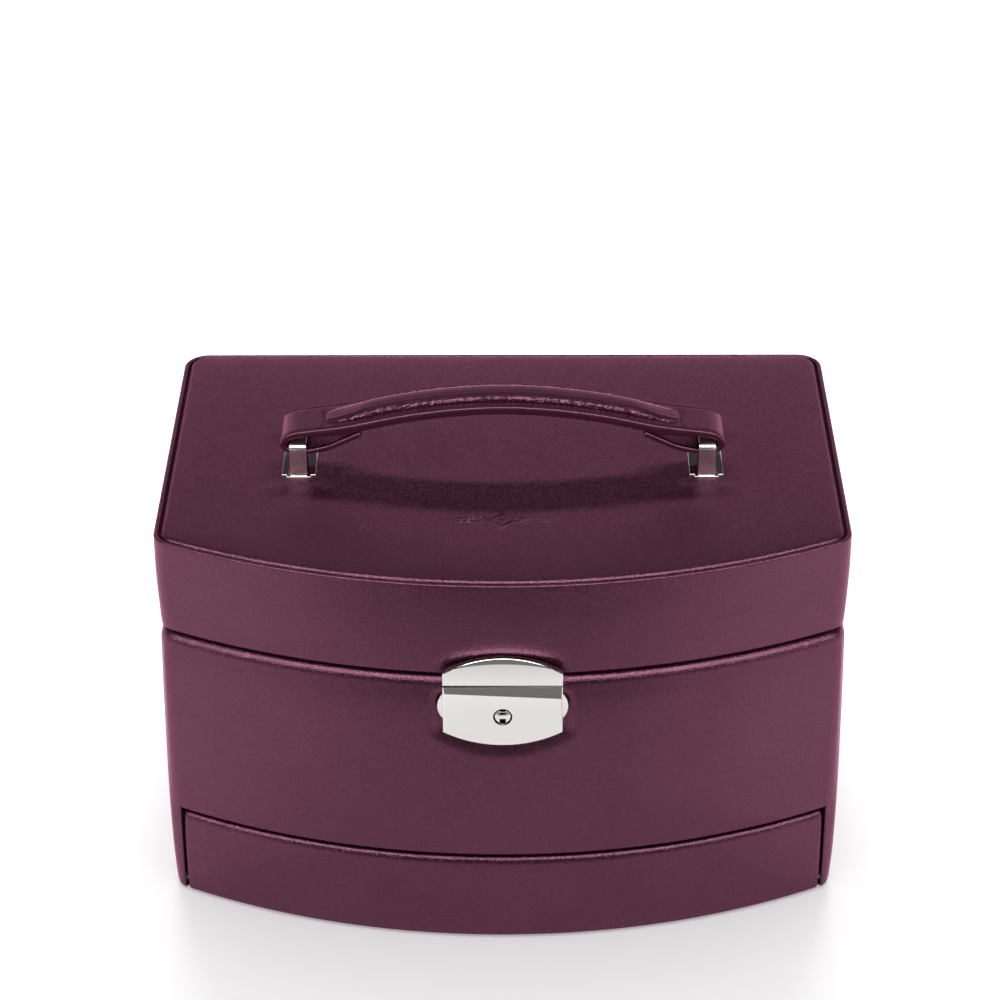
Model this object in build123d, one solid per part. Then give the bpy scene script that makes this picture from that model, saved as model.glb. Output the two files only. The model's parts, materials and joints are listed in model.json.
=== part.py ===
from build123d import *
import os
from math import sqrt

# Leather-covered jewellery case with a hinged lid, a lift-out tray and a drawer in its base.
# Millimetres. X runs along the width, -Y is the bowed front, Z is up.
# The origin is the middle of the underside, on the surface that the case stands on.

# ---- Driving dimensions ----

# Plan of the case
HALF_WIDTH = 119.8
HALF_DEPTH = 82.5
FRONT_BOW = 30.2
CORNER_RADIUS = 9.0
FRONT_RADIUS = (HALF_WIDTH**2 + FRONT_BOW**2) / (2 * FRONT_BOW)
BOW_CENTRE_Y = FRONT_RADIUS - HALF_DEPTH

# Heights
BODY_BOTTOM = 0.6
BODY_TOP = 110.5
LID_BOTTOM = 111.6
LID_TOP = 148.0

# Wall layers, as insets from the lid's outer face
LID_LEATHER = 1.6
LID_BOARD = 4.0
LID_LINING = 4.8
RIM_GROOVE = 2.9
BODY_FACE = 0.8
BODY_LEATHER = 1.8
BODY_BOARD = 4.2
BODY_LINING = 5.0
TURN_OVER = 0.8

# Boards, felt and lining
FELT_TOP = 0.8
FELT_MARGIN = 2.0
BASE_TOP = 4.4
GLIDE_TOP = 5.0
SHELF_BOTTOM = 36.2
SHELF_TOP = 39.2
LINING_THICKNESS = 0.8
LID_BOARD_BOTTOM = 141.4
LID_BOARD_TOP = 144.4
PANEL_COVER = 1.0
MIRROR_HALF_WIDTH = 84.0
MIRROR_FRONT = -42.0
MIRROR_BACK = 54.0
MIRROR_THICKNESS = 2.0
FRAME_THICKNESS = 3.8

# Drawer
DRAWER_FRONT_HALF = 115.2
DRAWER_FRONT_FACE = 0.2
DRAWER_FRONT_BACK = 5.2
DRAWER_FRONT_BOTTOM = 0.5
DRAWER_FRONT_TOP = 34.9
DRAWER_BOX_HALF = 112.0
DRAWER_BOX_BACK = 72.0
DRAWER_BOX_BOTTOM = 5.4
DRAWER_BOX_TOP = 31.0
DRAWER_WALL = 2.0
DRAWER_GAP = 0.4

# Lift-out tray
TRAY_INSET = 7.0
TRAY_WALL = 2.4
TRAY_BOTTOM = 83.0
TRAY_FLOOR = 85.0
TRAY_TOP = 108.5
LEDGE_TOP = 82.6
LEDGE_HEIGHT = 4.6
LEDGE_WIDTH = 4.0
ROLL_RADIUS = 8.9
ROLL_COUNT = 7
ROLL_HALF_LENGTH = 36.5
PARTITION = 2.0
CROSS_WALL_Y = 4.0

# Handle, standing on two brackets along the middle of the lid
BRACKET_X = 72.0
STRAP_HALF_WIDTH = 9.0
CORE_HALF_WIDTH = 5.0
CORE_REACH = 62.5
CORE_CORNER = 4.4
CORE_CROWN = 178.3
PLATE_HALF_WIDTH = 6.0
PLATE_HALF_DEPTH = 9.9
PLATE_THICKNESS = 1.0
TAB_HALF_WIDTH = 4.3
TAB_REACH = 11.4
STAPLE_HALF_WIDTH = 3.0
STAPLE_THICKNESS = 1.0
STAPLE_GAP = 9.4
STAPLE_TOP = 161.0
STAPLE_FOOT = 3.0

# Lock, in the middle of the front
LOCK_HALF_WIDTH = 20.5
LOCK_FACE = -84.45
LOCK_BACK = -81.2
LOCK_SPLIT = 109.0
KEY_Z = 96.6
KEY_RADIUS = 2.7
KEY_HOLE_RADIUS = 3.3
BUTTON_LOW = 95.3
BUTTON_HIGH = 105.3
CASE_HALF_WIDTH = 17.0
CASE_LOW = 87.5
CASE_HIGH = 107.5
CASE_BACK = -76.2
CASE_WALL = 0.8
CASE_SCREWS = [(x, z) for x in (-14, 14) for z in (90, 105)]
CASE_SCREW_RADIUS = 0.8
JOURNAL_FRONT = -79.9
JOURNAL_RADIUS = 1.5
POST_X = 5.45
POST_WIDTH = 0.9
POST_FRONT = -83.2
POST_LOW = 101.6
POST_TOP = 104.8
POST_FOOT_TOP = 102.8
TONGUE_X = 3.6
TONGUE_THICKNESS = 1.2
TONGUE_CLEARANCE = 0.8
FLANGE_THICKNESS = 0.7
BOLT_LOW = (-4.4, -79.7, 103.2)
BOLT_HIGH = (2.4, -78.5, 104.8)

# Hinges, across the back
HINGE_X = 70.0
HINGE_LENGTH = 50.0
HINGE_Y = 83.4
HINGE_Z = (BODY_TOP + LID_BOTTOM) / 2
KNUCKLE_RADIUS = 1.6
KNUCKLES = 5
KNUCKLE_GAP = 0.3
PIN_RADIUS = 0.7
LEAF = 0.8
SCREW_SPACING = 18.0
BODY_LEAF_BOTTOM = 99.0
LID_LEAF_TOP = 122.0
BODY_SCREW_Z = 103.5
LID_SCREW_Z = 118.0

# Reach of the cutting blocks, beyond the case on every side
FAR = 200.0

PARTS = {}


# ---- Helpers ----

def block(low, high):
    """Box between two opposite corners."""
    size = [b - a for a, b in zip(low, high)]
    middle = [(a + b) / 2 for a, b in zip(low, high)]
    return Pos(*middle) * Box(*size)


def rod(start, length, radius, axis):
    """Cylinder that starts at a point and runs along +X, +Y or +Z."""
    turn = {"X": Rot(0, 90, 0), "Y": Rot(-90, 0, 0), "Z": Rot(0, 0, 0)}[axis]
    return Pos(*start) * turn * Cylinder(radius, length, align=(Align.CENTER, Align.CENTER, Align.MIN))


def bow_y(inset, x):
    """Y of the bowed front face at a given inset and X."""
    return BOW_CENTRE_Y - sqrt((FRONT_RADIUS - inset)**2 - x**2)


def outline(inset, half=None, back=None, corner=None):
    """Plan of the case drawn in by an inset: bowed front, straight sides and back."""
    half = HALF_WIDTH - inset if half is None else half
    back = HALF_DEPTH - inset if back is None else back
    corner = max(CORNER_RADIUS - inset, 0.6) if corner is None else corner
    side = bow_y(inset, half)
    bow = ThreePointArc((-half, side), (0, bow_y(inset, 0)), (half, side))
    rest = Polyline((half, side), (half, back), (-half, back), (-half, side))
    face = make_face([bow, *rest.edges()])
    return fillet(face.vertices(), corner) if corner > 0 else face


def prism(face, low, high):
    """Upright solid on a plan, between two heights."""
    return Pos(0, 0, low) * extrude(face, high - low, dir=(0, 0, 1))


def ring(outer, inner, low, high):
    """Upright wall between two insets of the case's plan."""
    return prism(outline(outer), low, high) - prism(outline(inner), low, high)


def across(low, high):
    """Slab between two corners given in Y and Z, right across the case."""
    return block((-FAR, *low), (FAR, *high))


def side_block(side, near, far, low, high):
    """Box on the left or right side, between two distances from the middle."""
    xs = sorted((side * near, side * far))
    return block((xs[0], *low), (xs[1], *high))


def side_view(face, front, back):
    """Solid from an outline drawn in X and Z, between two values of Y."""
    return Pos(0, front, 0) * extrude(Plane.XZ * face, back - front, dir=(0, 1, 0))


def four_boards(outer, inner, low, high):
    """A wall ring cut into front, back, left and right boards that butt together."""
    wall = ring(outer, inner, low, high)
    back_line = HALF_DEPTH - inner
    front_line = bow_y(inner, HALF_WIDTH - inner)
    front = wall & across((-FAR, low), (front_line, high))
    back = wall & across((back_line, low), (FAR, high))
    left = wall & side_block(-1, 0, FAR, (front_line, low), (back_line, high))
    right = wall & side_block(1, 0, FAR, (front_line, low), (back_line, high))
    return front, back, left, right


def add(name, shape):
    """Keep a finished sub-part under its node's name."""
    PARTS[name] = shape


# ---- Lock ----

def shield(half, flat_z, side_z, tip_z):
    """Lock plate outline: one straight edge, two short sides and a curved edge."""
    edge = ThreePointArc((-half, side_z), (0, tip_z), (half, side_z))
    rest = Polyline((half, side_z), (half, flat_z), (-half, flat_z), (-half, side_z))
    face = make_face([edge, *rest.edges()])
    return fillet(face.vertices().sort_by(Axis.Y), 0.5)


UPPER_PLATE_OUTLINE = (LOCK_HALF_WIDTH, LOCK_SPLIT + 0.2, 114.3, 120.2)
LOWER_PLATE_OUTLINE = (LOCK_HALF_WIDTH, LOCK_SPLIT - 0.2, 90.3, 84.8)
UPPER_PLATE_BACK = -82.2


def lock_upper_plate():
    """Curved plate on the lid, with a softened front edge."""
    plate = side_view(shield(*UPPER_PLATE_OUTLINE), LOCK_FACE + 0.15, UPPER_PLATE_BACK)
    return fillet(plate.edges().group_by(Axis.Y)[0], 0.55)


def lock_lower_plate():
    """Hollow cover over the lock, with a key hole and a slot at each side for a button."""
    plate = side_view(shield(*LOWER_PLATE_OUTLINE), LOCK_FACE, LOCK_BACK)
    plate = fillet(plate.edges().group_by(Axis.Y)[0], 0.55)
    hollow = side_view(shield(LOCK_HALF_WIDTH - 1, LOCK_SPLIT - 1.2, 91.0, 85.8), LOCK_FACE + 1, LOCK_BACK)
    slots = block((-30, LOCK_FACE + 1, BUTTON_LOW - 0.3), (30, LOCK_BACK, BUTTON_HIGH + 0.3))
    key_hole = rod((0, LOCK_FACE - 1, KEY_Z), 3, KEY_HOLE_RADIUS, "Y")
    return plate - hollow - slots - key_hole


def lock_case():
    """Steel box in the front board, open to the front, with a slot for the tongue."""
    box = block((-CASE_HALF_WIDTH, LOCK_BACK, CASE_LOW), (CASE_HALF_WIDTH, CASE_BACK, CASE_HIGH))
    inner = CASE_HALF_WIDTH - CASE_WALL
    inner_back = CASE_BACK - CASE_WALL
    box -= block((-inner, LOCK_BACK, CASE_LOW + CASE_WALL), (inner, inner_back, CASE_HIGH - CASE_WALL))
    slot = TONGUE_THICKNESS
    box -= block((TONGUE_X - slot, LOCK_BACK, CASE_HIGH - 1), (TONGUE_X + slot, inner_back, CASE_HIGH + 1))
    box -= rod((0, CASE_BACK - 2, KEY_Z), 4, JOURNAL_RADIUS + 0.05, "Y")
    for x, z in CASE_SCREWS:
        box -= rod((x, CASE_BACK - 2, z), 4, CASE_SCREW_RADIUS, "Y")
    for side in (-1, 1):
        box += spring_post(side)
    return box


def lock_case_screws():
    """Four small screws through the back of the lock case, with flat heads behind it."""
    screws = []
    for x, z in CASE_SCREWS:
        shank = rod((x, LOCK_BACK, z), CASE_BACK - LOCK_BACK, CASE_SCREW_RADIUS, "Y")
        screws.append(shank + rod((x, CASE_BACK, z), 0.6, 1.5, "Y"))
    return Compound(screws)


def key_barrel():
    """Barrel with two key slots in its face and a journal in the back of the case."""
    front = LOCK_FACE + 0.25
    barrel = rod((0, front, KEY_Z), JOURNAL_FRONT - front, KEY_RADIUS, "Y")
    barrel += rod((0, JOURNAL_FRONT, KEY_Z), CASE_BACK - JOURNAL_FRONT, JOURNAL_RADIUS, "Y")
    for low, high in ((0.7, 4), (-4, -1.2)):
        barrel -= block((-1.1, front - 1, KEY_Z + low), (1.1, front + 2, KEY_Z + high))
    face_edges = barrel.edges().filter_by(GeomType.CIRCLE).group_by(Axis.Y)[0]
    return fillet(face_edges, 0.25)


def lock_cam():
    """Lever on the barrel's journal, which throws the bolt."""
    cam = rod((0, -78.2, KEY_Z), 0.9, 2.6, "Y")
    cam += Pos(0, -77.75, KEY_Z) * Rot(0, -45, 0) * Pos(0, 0, 2.3) * Box(1.8, 0.9, 4.6)
    return cam - rod((0, -79, KEY_Z), 3, JOURNAL_RADIUS, "Y")


def hasp_flange():
    """Flat part of the tongue, between the upper plate and the lid."""
    return block((-6, UPPER_PLATE_BACK, 110.8), (10, UPPER_PLATE_BACK + FLANGE_THICKNESS, 117))


def hasp_tongue():
    """Steel tongue behind the upper plate, with a window for the bolt."""
    left, right = TONGUE_X - TONGUE_THICKNESS / 2, TONGUE_X + TONGUE_THICKNESS / 2
    back, top = -77.6, 111.4
    tongue = hasp_flange()
    tongue += block((left, UPPER_PLATE_BACK, 110.8), (right, back, top))
    tongue += block((left, -80.6, 101.5), (right, back, top))
    return tongue - block((left - 1, -80.0, 102.7), (right + 1, -78.2, 105.3))


def button(side):
    """Push button: a flat slide inside the cover with a rounded end outside it."""
    middle = (BUTTON_LOW + BUTTON_HIGH) / 2
    arc = ThreePointArc((20.4, BUTTON_LOW), (22.3, middle), (20.4, BUTTON_HIGH))
    rest = Polyline((20.4, BUTTON_HIGH), (11, BUTTON_HIGH), (11, BUTTON_LOW), (20.4, BUTTON_LOW))
    slide = side_view(make_face([arc, *rest.edges()]), -83.2, -81.6)
    return slide if side > 0 else mirror(slide, Plane.YZ)


def button_spring(side):
    """Coil spring between the lock's middle post and a button."""
    path = Helix(pitch=0.9, height=4.5, radius=0.55)
    section = Plane(path @ 0, z_dir=path % 0) * Circle(0.12)
    coil = sweep(section, path=path, is_frenet=True)
    return Pos(side * 6.2, -82.4, 103.2) * Rot(0, side * 90, 0) * coil


def spring_post(side):
    """Post in front of the case that a button's spring pushes against, on a foot below the bolt."""
    near, far = POST_X - POST_WIDTH / 2, POST_X + POST_WIDTH / 2
    post = side_block(side, near, far, (POST_FRONT, POST_LOW), (LOCK_BACK, POST_TOP))
    foot_back = CASE_BACK - CASE_WALL / 2
    return post + side_block(side, near, far, (LOCK_BACK, POST_LOW), (foot_back, POST_FOOT_TOP))


def add_lock():
    """All the lock's pieces."""
    add("lock_upper_plate", lock_upper_plate())
    add("lock_lower_plate", lock_lower_plate())
    add("lock_case", lock_case())
    add("lock_case_screws", lock_case_screws())
    add("key_barrel", key_barrel())
    add("lock_cam", lock_cam())
    add("lock_bolt", block(BOLT_LOW, BOLT_HIGH))
    add("hasp_tongue", hasp_tongue())
    for side, name in ((-1, "left"), (1, "right")):
        add("button_" + name, button(side))
        add("button_spring_" + name, button_spring(side))


def lock_recess():
    """Room that the lock takes in the front of the body."""
    pocket = side_view(shield(*LOWER_PLATE_OUTLINE), LOCK_FACE, LOCK_BACK)
    window = block((-CASE_HALF_WIDTH, -90, CASE_LOW), (CASE_HALF_WIDTH, CASE_BACK, CASE_HIGH))
    reach = TONGUE_THICKNESS / 2 + TONGUE_CLEARANCE
    notch = block((TONGUE_X - reach, -81.3, CASE_HIGH), (TONGUE_X + reach, -70, LID_BOTTOM))
    return pocket + window + notch


# ---- Hinges ----

def knuckle(centre, index):
    """Start and end in X of one knuckle."""
    step = HINGE_LENGTH / KNUCKLES
    start = centre - HINGE_LENGTH / 2 + index * step
    return start + KNUCKLE_GAP / 2, start + step - KNUCKLE_GAP / 2


def hinge_leaf(centre, lid):
    """One leaf: a plate on the back wall with knuckles round the pin."""
    near = HALF_DEPTH if lid else HALF_DEPTH - BODY_FACE
    clear = KNUCKLE_RADIUS + 0.35
    low, high = (HINGE_Z + clear, LID_LEAF_TOP) if lid else (BODY_LEAF_BOTTOM, HINGE_Z - clear)
    half = HINGE_LENGTH / 2
    leaf = block((centre - half, near, low), (centre + half, near + LEAF, high))
    for index in range(1 if lid else 0, KNUCKLES, 2):
        start, end = knuckle(centre, index)
        web_low, web_high = (HINGE_Z, low) if lid else (high, HINGE_Z)
        leaf += block((start, near, web_low), (end, near + LEAF, web_high))
        leaf += rod((start, HINGE_Y, HINGE_Z), end - start, KNUCKLE_RADIUS, "X")
    return leaf - rod((centre - half - 1, HINGE_Y, HINGE_Z), HINGE_LENGTH + 2, PIN_RADIUS + 0.05, "X")


def hinge_screw(x, lid):
    """Wood screw with a low round head."""
    near = HALF_DEPTH if lid else HALF_DEPTH - BODY_FACE
    z = LID_SCREW_Z if lid else BODY_SCREW_Z
    head = rod((x, near + LEAF / 2, z), LEAF / 2 + 0.5, 1.6, "Y")
    head = fillet(head.edges().group_by(Axis.Y)[-1], 0.3)
    return head + rod((x, near - 2.8, z), 2.8 + LEAF / 2, 0.8, "Y")


def hinge_screws(lid):
    """Three screws in each of the two leaves."""
    places = [side * HINGE_X + step * SCREW_SPACING for side in (-1, 1) for step in (-1, 0, 1)]
    return [hinge_screw(x, lid) for x in places]


def hinge_notch():
    """Room for the knuckles in the leather at the back."""
    half = HINGE_LENGTH / 2 + 0.4
    reach = KNUCKLE_RADIUS + 0.4
    notch = [block((side * HINGE_X - half, HINGE_Y - reach, HINGE_Z - reach),
                   (side * HINGE_X + half, 90, HINGE_Z + reach)) for side in (-1, 1)]
    return notch[0] + notch[1]


def add_hinges():
    """Two hinges with their pins and screws."""
    for name, lid in (("body", False), ("lid", True)):
        screws = hinge_screws(lid)
        leaves = []
        for side in (-1, 1):
            leaf = hinge_leaf(side * HINGE_X, lid)
            for screw in screws:
                leaf -= screw
            leaves.append(leaf)
        add("hinge_leaves_" + name, Compound(leaves))
        add("hinge_screws_" + name, Compound(screws))
    half = HINGE_LENGTH / 2
    starts = [(side * HINGE_X - half, HINGE_Y, HINGE_Z) for side in (-1, 1)]
    add("hinge_pins", Compound([rod(start, HINGE_LENGTH, PIN_RADIUS, "X") for start in starts]))


# ---- Body ----

def add_body():
    """Boards, leather, felt and lining of the body."""
    recess = lock_recess()
    screws = hinge_screws(False)
    board_low, board_high = BODY_BOTTOM + 0.4, BODY_TOP - TURN_OVER
    front, back, left, right = four_boards(BODY_LEATHER, BODY_BOARD, board_low, board_high)
    mouth_half = HALF_WIDTH - BODY_BOARD
    drawer_mouth = block((-mouth_half, -FAR, -1), (mouth_half, 0, SHELF_BOTTOM - 0.3))
    for screw in screws:
        back -= screw
    add("front_board", front - across((-FAR, -1), (0, SHELF_BOTTOM)) - recess)
    add("back_board", back)
    add("side_board_left", left - drawer_mouth)
    add("side_board_right", right - drawer_mouth)
    add("shelf_board", prism(outline(BODY_BOARD), SHELF_BOTTOM, SHELF_TOP))
    leather = ring(BODY_FACE, BODY_LEATHER, BODY_BOTTOM, BODY_TOP)
    leather += ring(BODY_LEATHER, BODY_BOARD, BODY_TOP - TURN_OVER, BODY_TOP)
    leather += four_boards(BODY_LEATHER, BODY_BOARD, board_low, SHELF_BOTTOM)[0]
    leather -= drawer_mouth
    leather -= recess
    leather -= hinge_notch()
    for screw in screws:
        leather -= screw
    add("body_leather", leather)
    lining = ring(BODY_BOARD, BODY_LINING, SHELF_TOP, BODY_TOP)
    lining += prism(outline(BODY_LINING), SHELF_TOP, SHELF_TOP + LINING_THICKNESS)
    add("compartment_lining", lining - recess)
    back = HALF_DEPTH - BODY_BOARD
    base = outline(DRAWER_FRONT_BACK + DRAWER_GAP, mouth_half, back, 5)
    add("base_board", prism(base, FELT_TOP, BASE_TOP))
    felt = outline(DRAWER_FRONT_BACK + FELT_MARGIN, mouth_half - FELT_MARGIN, back - FELT_MARGIN, 3)
    add("base_felt", prism(felt, 0, FELT_TOP))
    glides = [side_block(side, 85, 95, (-40, BASE_TOP), (74, GLIDE_TOP)) for side in (-1, 1)]
    add("drawer_glides", Compound(glides))
    inner = HALF_WIDTH - BODY_LINING
    low, high = (-34, LEDGE_TOP - LEDGE_HEIGHT), (66, LEDGE_TOP)
    ledges = [side_block(side, inner - LEDGE_WIDTH, inner, low, high) for side in (-1, 1)]
    add("tray_ledges", Compound(ledges))


# ---- Lid ----

def bracket_room():
    """Slots for the staples' legs and pockets for their feet, at both brackets."""
    room = None
    for side in (-1, 1):
        for end in (-1, 1):
            leg = staple_leg(side * BRACKET_X, end)
            room = leg if room is None else room + leg
    return room


def staple_leg(x, end):
    """One leg of a staple below the plate, with its foot bent outwards."""
    near, far = end * STAPLE_GAP, end * (STAPLE_GAP + STAPLE_THICKNESS)
    foot = end * (STAPLE_GAP + STAPLE_THICKNESS + STAPLE_FOOT)
    leg = block((x - STAPLE_HALF_WIDTH, min(near, far), LID_BOARD_BOTTOM),
                (x + STAPLE_HALF_WIDTH, max(near, far), LID_TOP + PLATE_THICKNESS))
    return leg + block((x - STAPLE_HALF_WIDTH, min(near, foot), LID_BOARD_BOTTOM),
                       (x + STAPLE_HALF_WIDTH, max(near, foot), LID_BOARD_BOTTOM + STAPLE_THICKNESS))


def add_lid():
    """Boards, leather, padded panel, lining and mirror of the lid."""
    screws = hinge_screws(True)
    room = bracket_room()
    low = LID_BOTTOM + TURN_OVER
    front, back, left, right = four_boards(LID_LEATHER, LID_BOARD, low, LID_BOARD_TOP)
    for screw in screws:
        back -= screw
    add("lid_rail_front", front)
    add("lid_rail_back", back)
    add("lid_rail_left", left)
    add("lid_rail_right", right)
    add("lid_top_board", prism(outline(LID_BOARD), LID_BOARD_BOTTOM, LID_BOARD_TOP) - room)
    leather = ring(0, LID_LEATHER, LID_BOTTOM, LID_TOP)
    leather += ring(LID_LEATHER, LID_BOARD, LID_BOTTOM, low)
    plate = side_view(shield(*UPPER_PLATE_OUTLINE), LOCK_FACE, UPPER_PLATE_BACK)
    leather -= plate + hasp_flange() + hinge_notch()
    for screw in screws:
        leather -= screw
    add("lid_band_leather", leather)
    panel = prism(outline(RIM_GROOVE), LID_BOARD_TOP, LID_TOP)
    foam = prism(outline(RIM_GROOVE + PANEL_COVER), LID_BOARD_TOP, LID_TOP - PANEL_COVER)
    add("lid_top_panel", panel - foam - room)
    add("lid_panel_foam", foam - room)
    lining = ring(LID_BOARD, LID_LINING, LID_BOTTOM, LID_BOARD_BOTTOM)
    lining += prism(outline(LID_LINING), LID_BOARD_BOTTOM - LINING_THICKNESS, LID_BOARD_BOTTOM)
    add("lid_lining", lining)
    ceiling = LID_BOARD_BOTTOM - LINING_THICKNESS
    glass_low, glass_high = (-MIRROR_HALF_WIDTH, MIRROR_FRONT), (MIRROR_HALF_WIDTH, MIRROR_BACK)
    add("mirror", block((*glass_low, ceiling - MIRROR_THICKNESS), (*glass_high, ceiling)))
    surround = prism(outline(LID_LINING), ceiling - FRAME_THICKNESS, ceiling)
    add("mirror_frame", surround - block((*glass_low, 0), (*glass_high, ceiling)))


# ---- Handle ----

STRAP_CROWN = 175.5
STRAP_SHOULDER = (55.0, 167.2)
STRAP_UNDER_CROWN = 172.3


def handle_strap():
    """Arched strap whose ends fold round the brackets and back under themselves."""
    end = [(50, 165.3), (50, 163.3), (60.7, 158.2), (68, 156.3), (74.5, 157.2), (77.8, 159.8),
           (78.4, 162), (77.2, 164.4), (74.5, 165.4), (67.5, 165.9), STRAP_SHOULDER]
    mirrored = [(-x, z) for x, z in reversed(end)]
    under = ThreePointArc(mirrored[-1], (0, STRAP_UNDER_CROWN), end[0])
    over = ThreePointArc(end[-1], (0, STRAP_CROWN), mirrored[0])
    face = make_face([under, *Polyline(*end).edges(), over, *Polyline(*mirrored).edges()])
    loop = [(57, 162.6), (66, 158.7), (73.5, 158.6), (75.7, 159.7), (75.5, 162.2), (67.5, 162.7)]
    for side in (-1, 1):
        face -= make_face(Polyline(*[(side * x, z) for x, z in loop], close=True))
    return side_view(face, -STRAP_HALF_WIDTH, STRAP_HALF_WIDTH)


def handle_core():
    """Raised padded core along the top of the strap, with low rounded ends."""
    end = [STRAP_SHOULDER, (CORE_REACH, 166.42), (CORE_REACH, 167.3), (50, 171.4)]
    mirrored = [(-x, z) for x, z in reversed(end)]
    under = ThreePointArc(mirrored[-1], (0, STRAP_CROWN), end[0])
    over = ThreePointArc(end[-1], (0, CORE_CROWN), mirrored[0])
    face = make_face([under, *Polyline(*end).edges(), over, *Polyline(*mirrored).edges()])
    plan = RectangleRounded(2 * CORE_REACH, 2 * CORE_HALF_WIDTH, CORE_CORNER)
    return side_view(face, -CORE_HALF_WIDTH, CORE_HALF_WIDTH) & prism(plan, LID_TOP, CORE_CROWN + 1)


def handle_plate(x):
    """Plate under a staple, with a narrow tab at the front and at the back."""
    top = LID_TOP + PLATE_THICKNESS
    width, depth = PLATE_HALF_WIDTH, PLATE_HALF_DEPTH
    plate = block((x - width, -depth, LID_TOP), (x + width, depth, top))
    plate += block((x - TAB_HALF_WIDTH, -TAB_REACH, LID_TOP), (x + TAB_HALF_WIDTH, TAB_REACH, top))
    return plate - staple_leg(x, -1) - staple_leg(x, 1)


def handle_staple(x):
    """Strip bent into an arch that passes through the strap's loop."""
    outer = STAPLE_GAP + STAPLE_THICKNESS
    half = STAPLE_HALF_WIDTH
    arch = block((x - half, -outer, LID_BOARD_BOTTOM), (x + half, outer, STAPLE_TOP))
    arch -= block((x - 9, -STAPLE_GAP, 0), (x + 9, STAPLE_GAP, STAPLE_TOP - STAPLE_THICKNESS))
    arch = fillet(arch.edges().filter_by(Axis.X).group_by(Axis.Z)[-1], 0.95)
    return arch + staple_leg(x, -1) + staple_leg(x, 1)


def add_handle():
    """Strap, core, plates and staples."""
    add("handle_strap", handle_strap())
    add("handle_core", handle_core())
    for side, name in ((-1, "left"), (1, "right")):
        add("handle_plate_" + name, handle_plate(side * BRACKET_X))
        add("handle_staple_" + name, handle_staple(side * BRACKET_X))


# ---- Drawer ----

def drawer_plan(front_inset, wall):
    """Plan of the drawer box drawn in by a wall thickness."""
    return outline(front_inset, DRAWER_BOX_HALF - wall, DRAWER_BOX_BACK - wall, 0)


def add_drawer():
    """Leather-covered front and the lined box behind it."""
    low, high = DRAWER_FRONT_BOTTOM, DRAWER_FRONT_TOP
    cover = prism(outline(DRAWER_FRONT_FACE, DRAWER_FRONT_HALF, 0, 0), low, high)
    board = prism(outline(DRAWER_FRONT_FACE + 1, DRAWER_FRONT_HALF - 1, 0, 0), low + 0.6, high - 0.8)
    behind = prism(outline(DRAWER_FRONT_BACK, 118, 20, 0), -1, 60)
    add("drawer_front_board", board - behind)
    add("drawer_front_leather", cover - behind - board)
    floor = DRAWER_BOX_BOTTOM + DRAWER_WALL
    inner = prism(drawer_plan(DRAWER_FRONT_BACK + DRAWER_WALL, DRAWER_WALL), floor, DRAWER_BOX_TOP)
    add("drawer_box", prism(drawer_plan(DRAWER_FRONT_BACK, 0), DRAWER_BOX_BOTTOM, DRAWER_BOX_TOP) - inner)
    inset = DRAWER_WALL + LINING_THICKNESS
    room = prism(drawer_plan(DRAWER_FRONT_BACK + inset, inset), floor + LINING_THICKNESS, DRAWER_BOX_TOP)
    add("drawer_lining", inner - room)
    top = DRAWER_BOX_TOP - 4
    half = PARTITION / 2
    grid = across((-half, 0), (half, top))
    for side in (-1, 1):
        grid += side_block(side, 37 - half, 37 + half, (-FAR, 0), (FAR, top))
    add("drawer_partitions", grid & room)


# ---- Tray ----

def add_tray():
    """Lined tray with ring rolls between two rows of compartments."""
    inner = prism(outline(TRAY_INSET + TRAY_WALL), TRAY_FLOOR, TRAY_TOP)
    add("tray_box", prism(outline(TRAY_INSET), TRAY_BOTTOM, TRAY_TOP) - inner)
    room_inset = TRAY_INSET + TRAY_WALL + LINING_THICKNESS
    room = prism(outline(room_inset), TRAY_FLOOR + LINING_THICKNESS, TRAY_TOP)
    add("tray_lining", inner - room)
    half = PARTITION / 2
    top = TRAY_TOP - 2
    wall_x = ROLL_HALF_LENGTH + 0.5 + half
    grids = []
    for side in (-1, 1):
        wall = side_block(side, wall_x - half, wall_x + half, (-FAR, 0), (FAR, top))
        wall += side_block(side, wall_x, FAR, (CROSS_WALL_Y - half, 0), (CROSS_WALL_Y + half, top))
        grids.append(wall & room)
    add("tray_partitions", Compound(grids))
    back = HALF_DEPTH - room_inset
    rolls = []
    for index in range(ROLL_COUNT):
        y = back - 0.2 - ROLL_RADIUS - index * (2 * ROLL_RADIUS + 0.1)
        z = TRAY_FLOOR + LINING_THICKNESS + ROLL_RADIUS
        rolls.append(rod((-ROLL_HALF_LENGTH, y, z), 2 * ROLL_HALF_LENGTH, ROLL_RADIUS, "X"))
    add("ring_rolls", Compound(rolls))
    edge = HALF_WIDTH - room_inset
    low, high = (26, TRAY_TOP - 10), (38, TRAY_TOP + 9)
    add("tray_pulls", Compound([side_block(side, edge - 1, edge, low, high) for side in (-1, 1)]))


def main():
    """Make every sub-part and write one file for each."""
    add_body()
    add_lid()
    add_lock()
    add_hinges()
    add_handle()
    add_drawer()
    add_tray()
    os.makedirs("parts", exist_ok=True)
    for name, shape in PARTS.items():
        export_step(shape, "parts/" + name + ".step")


main()
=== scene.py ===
import json
import math
import bmesh
import bpy
import numpy as np
from mathutils import Euler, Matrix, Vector, noise
from mathutils.geometry import delaunay_2d_cdt


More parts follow.
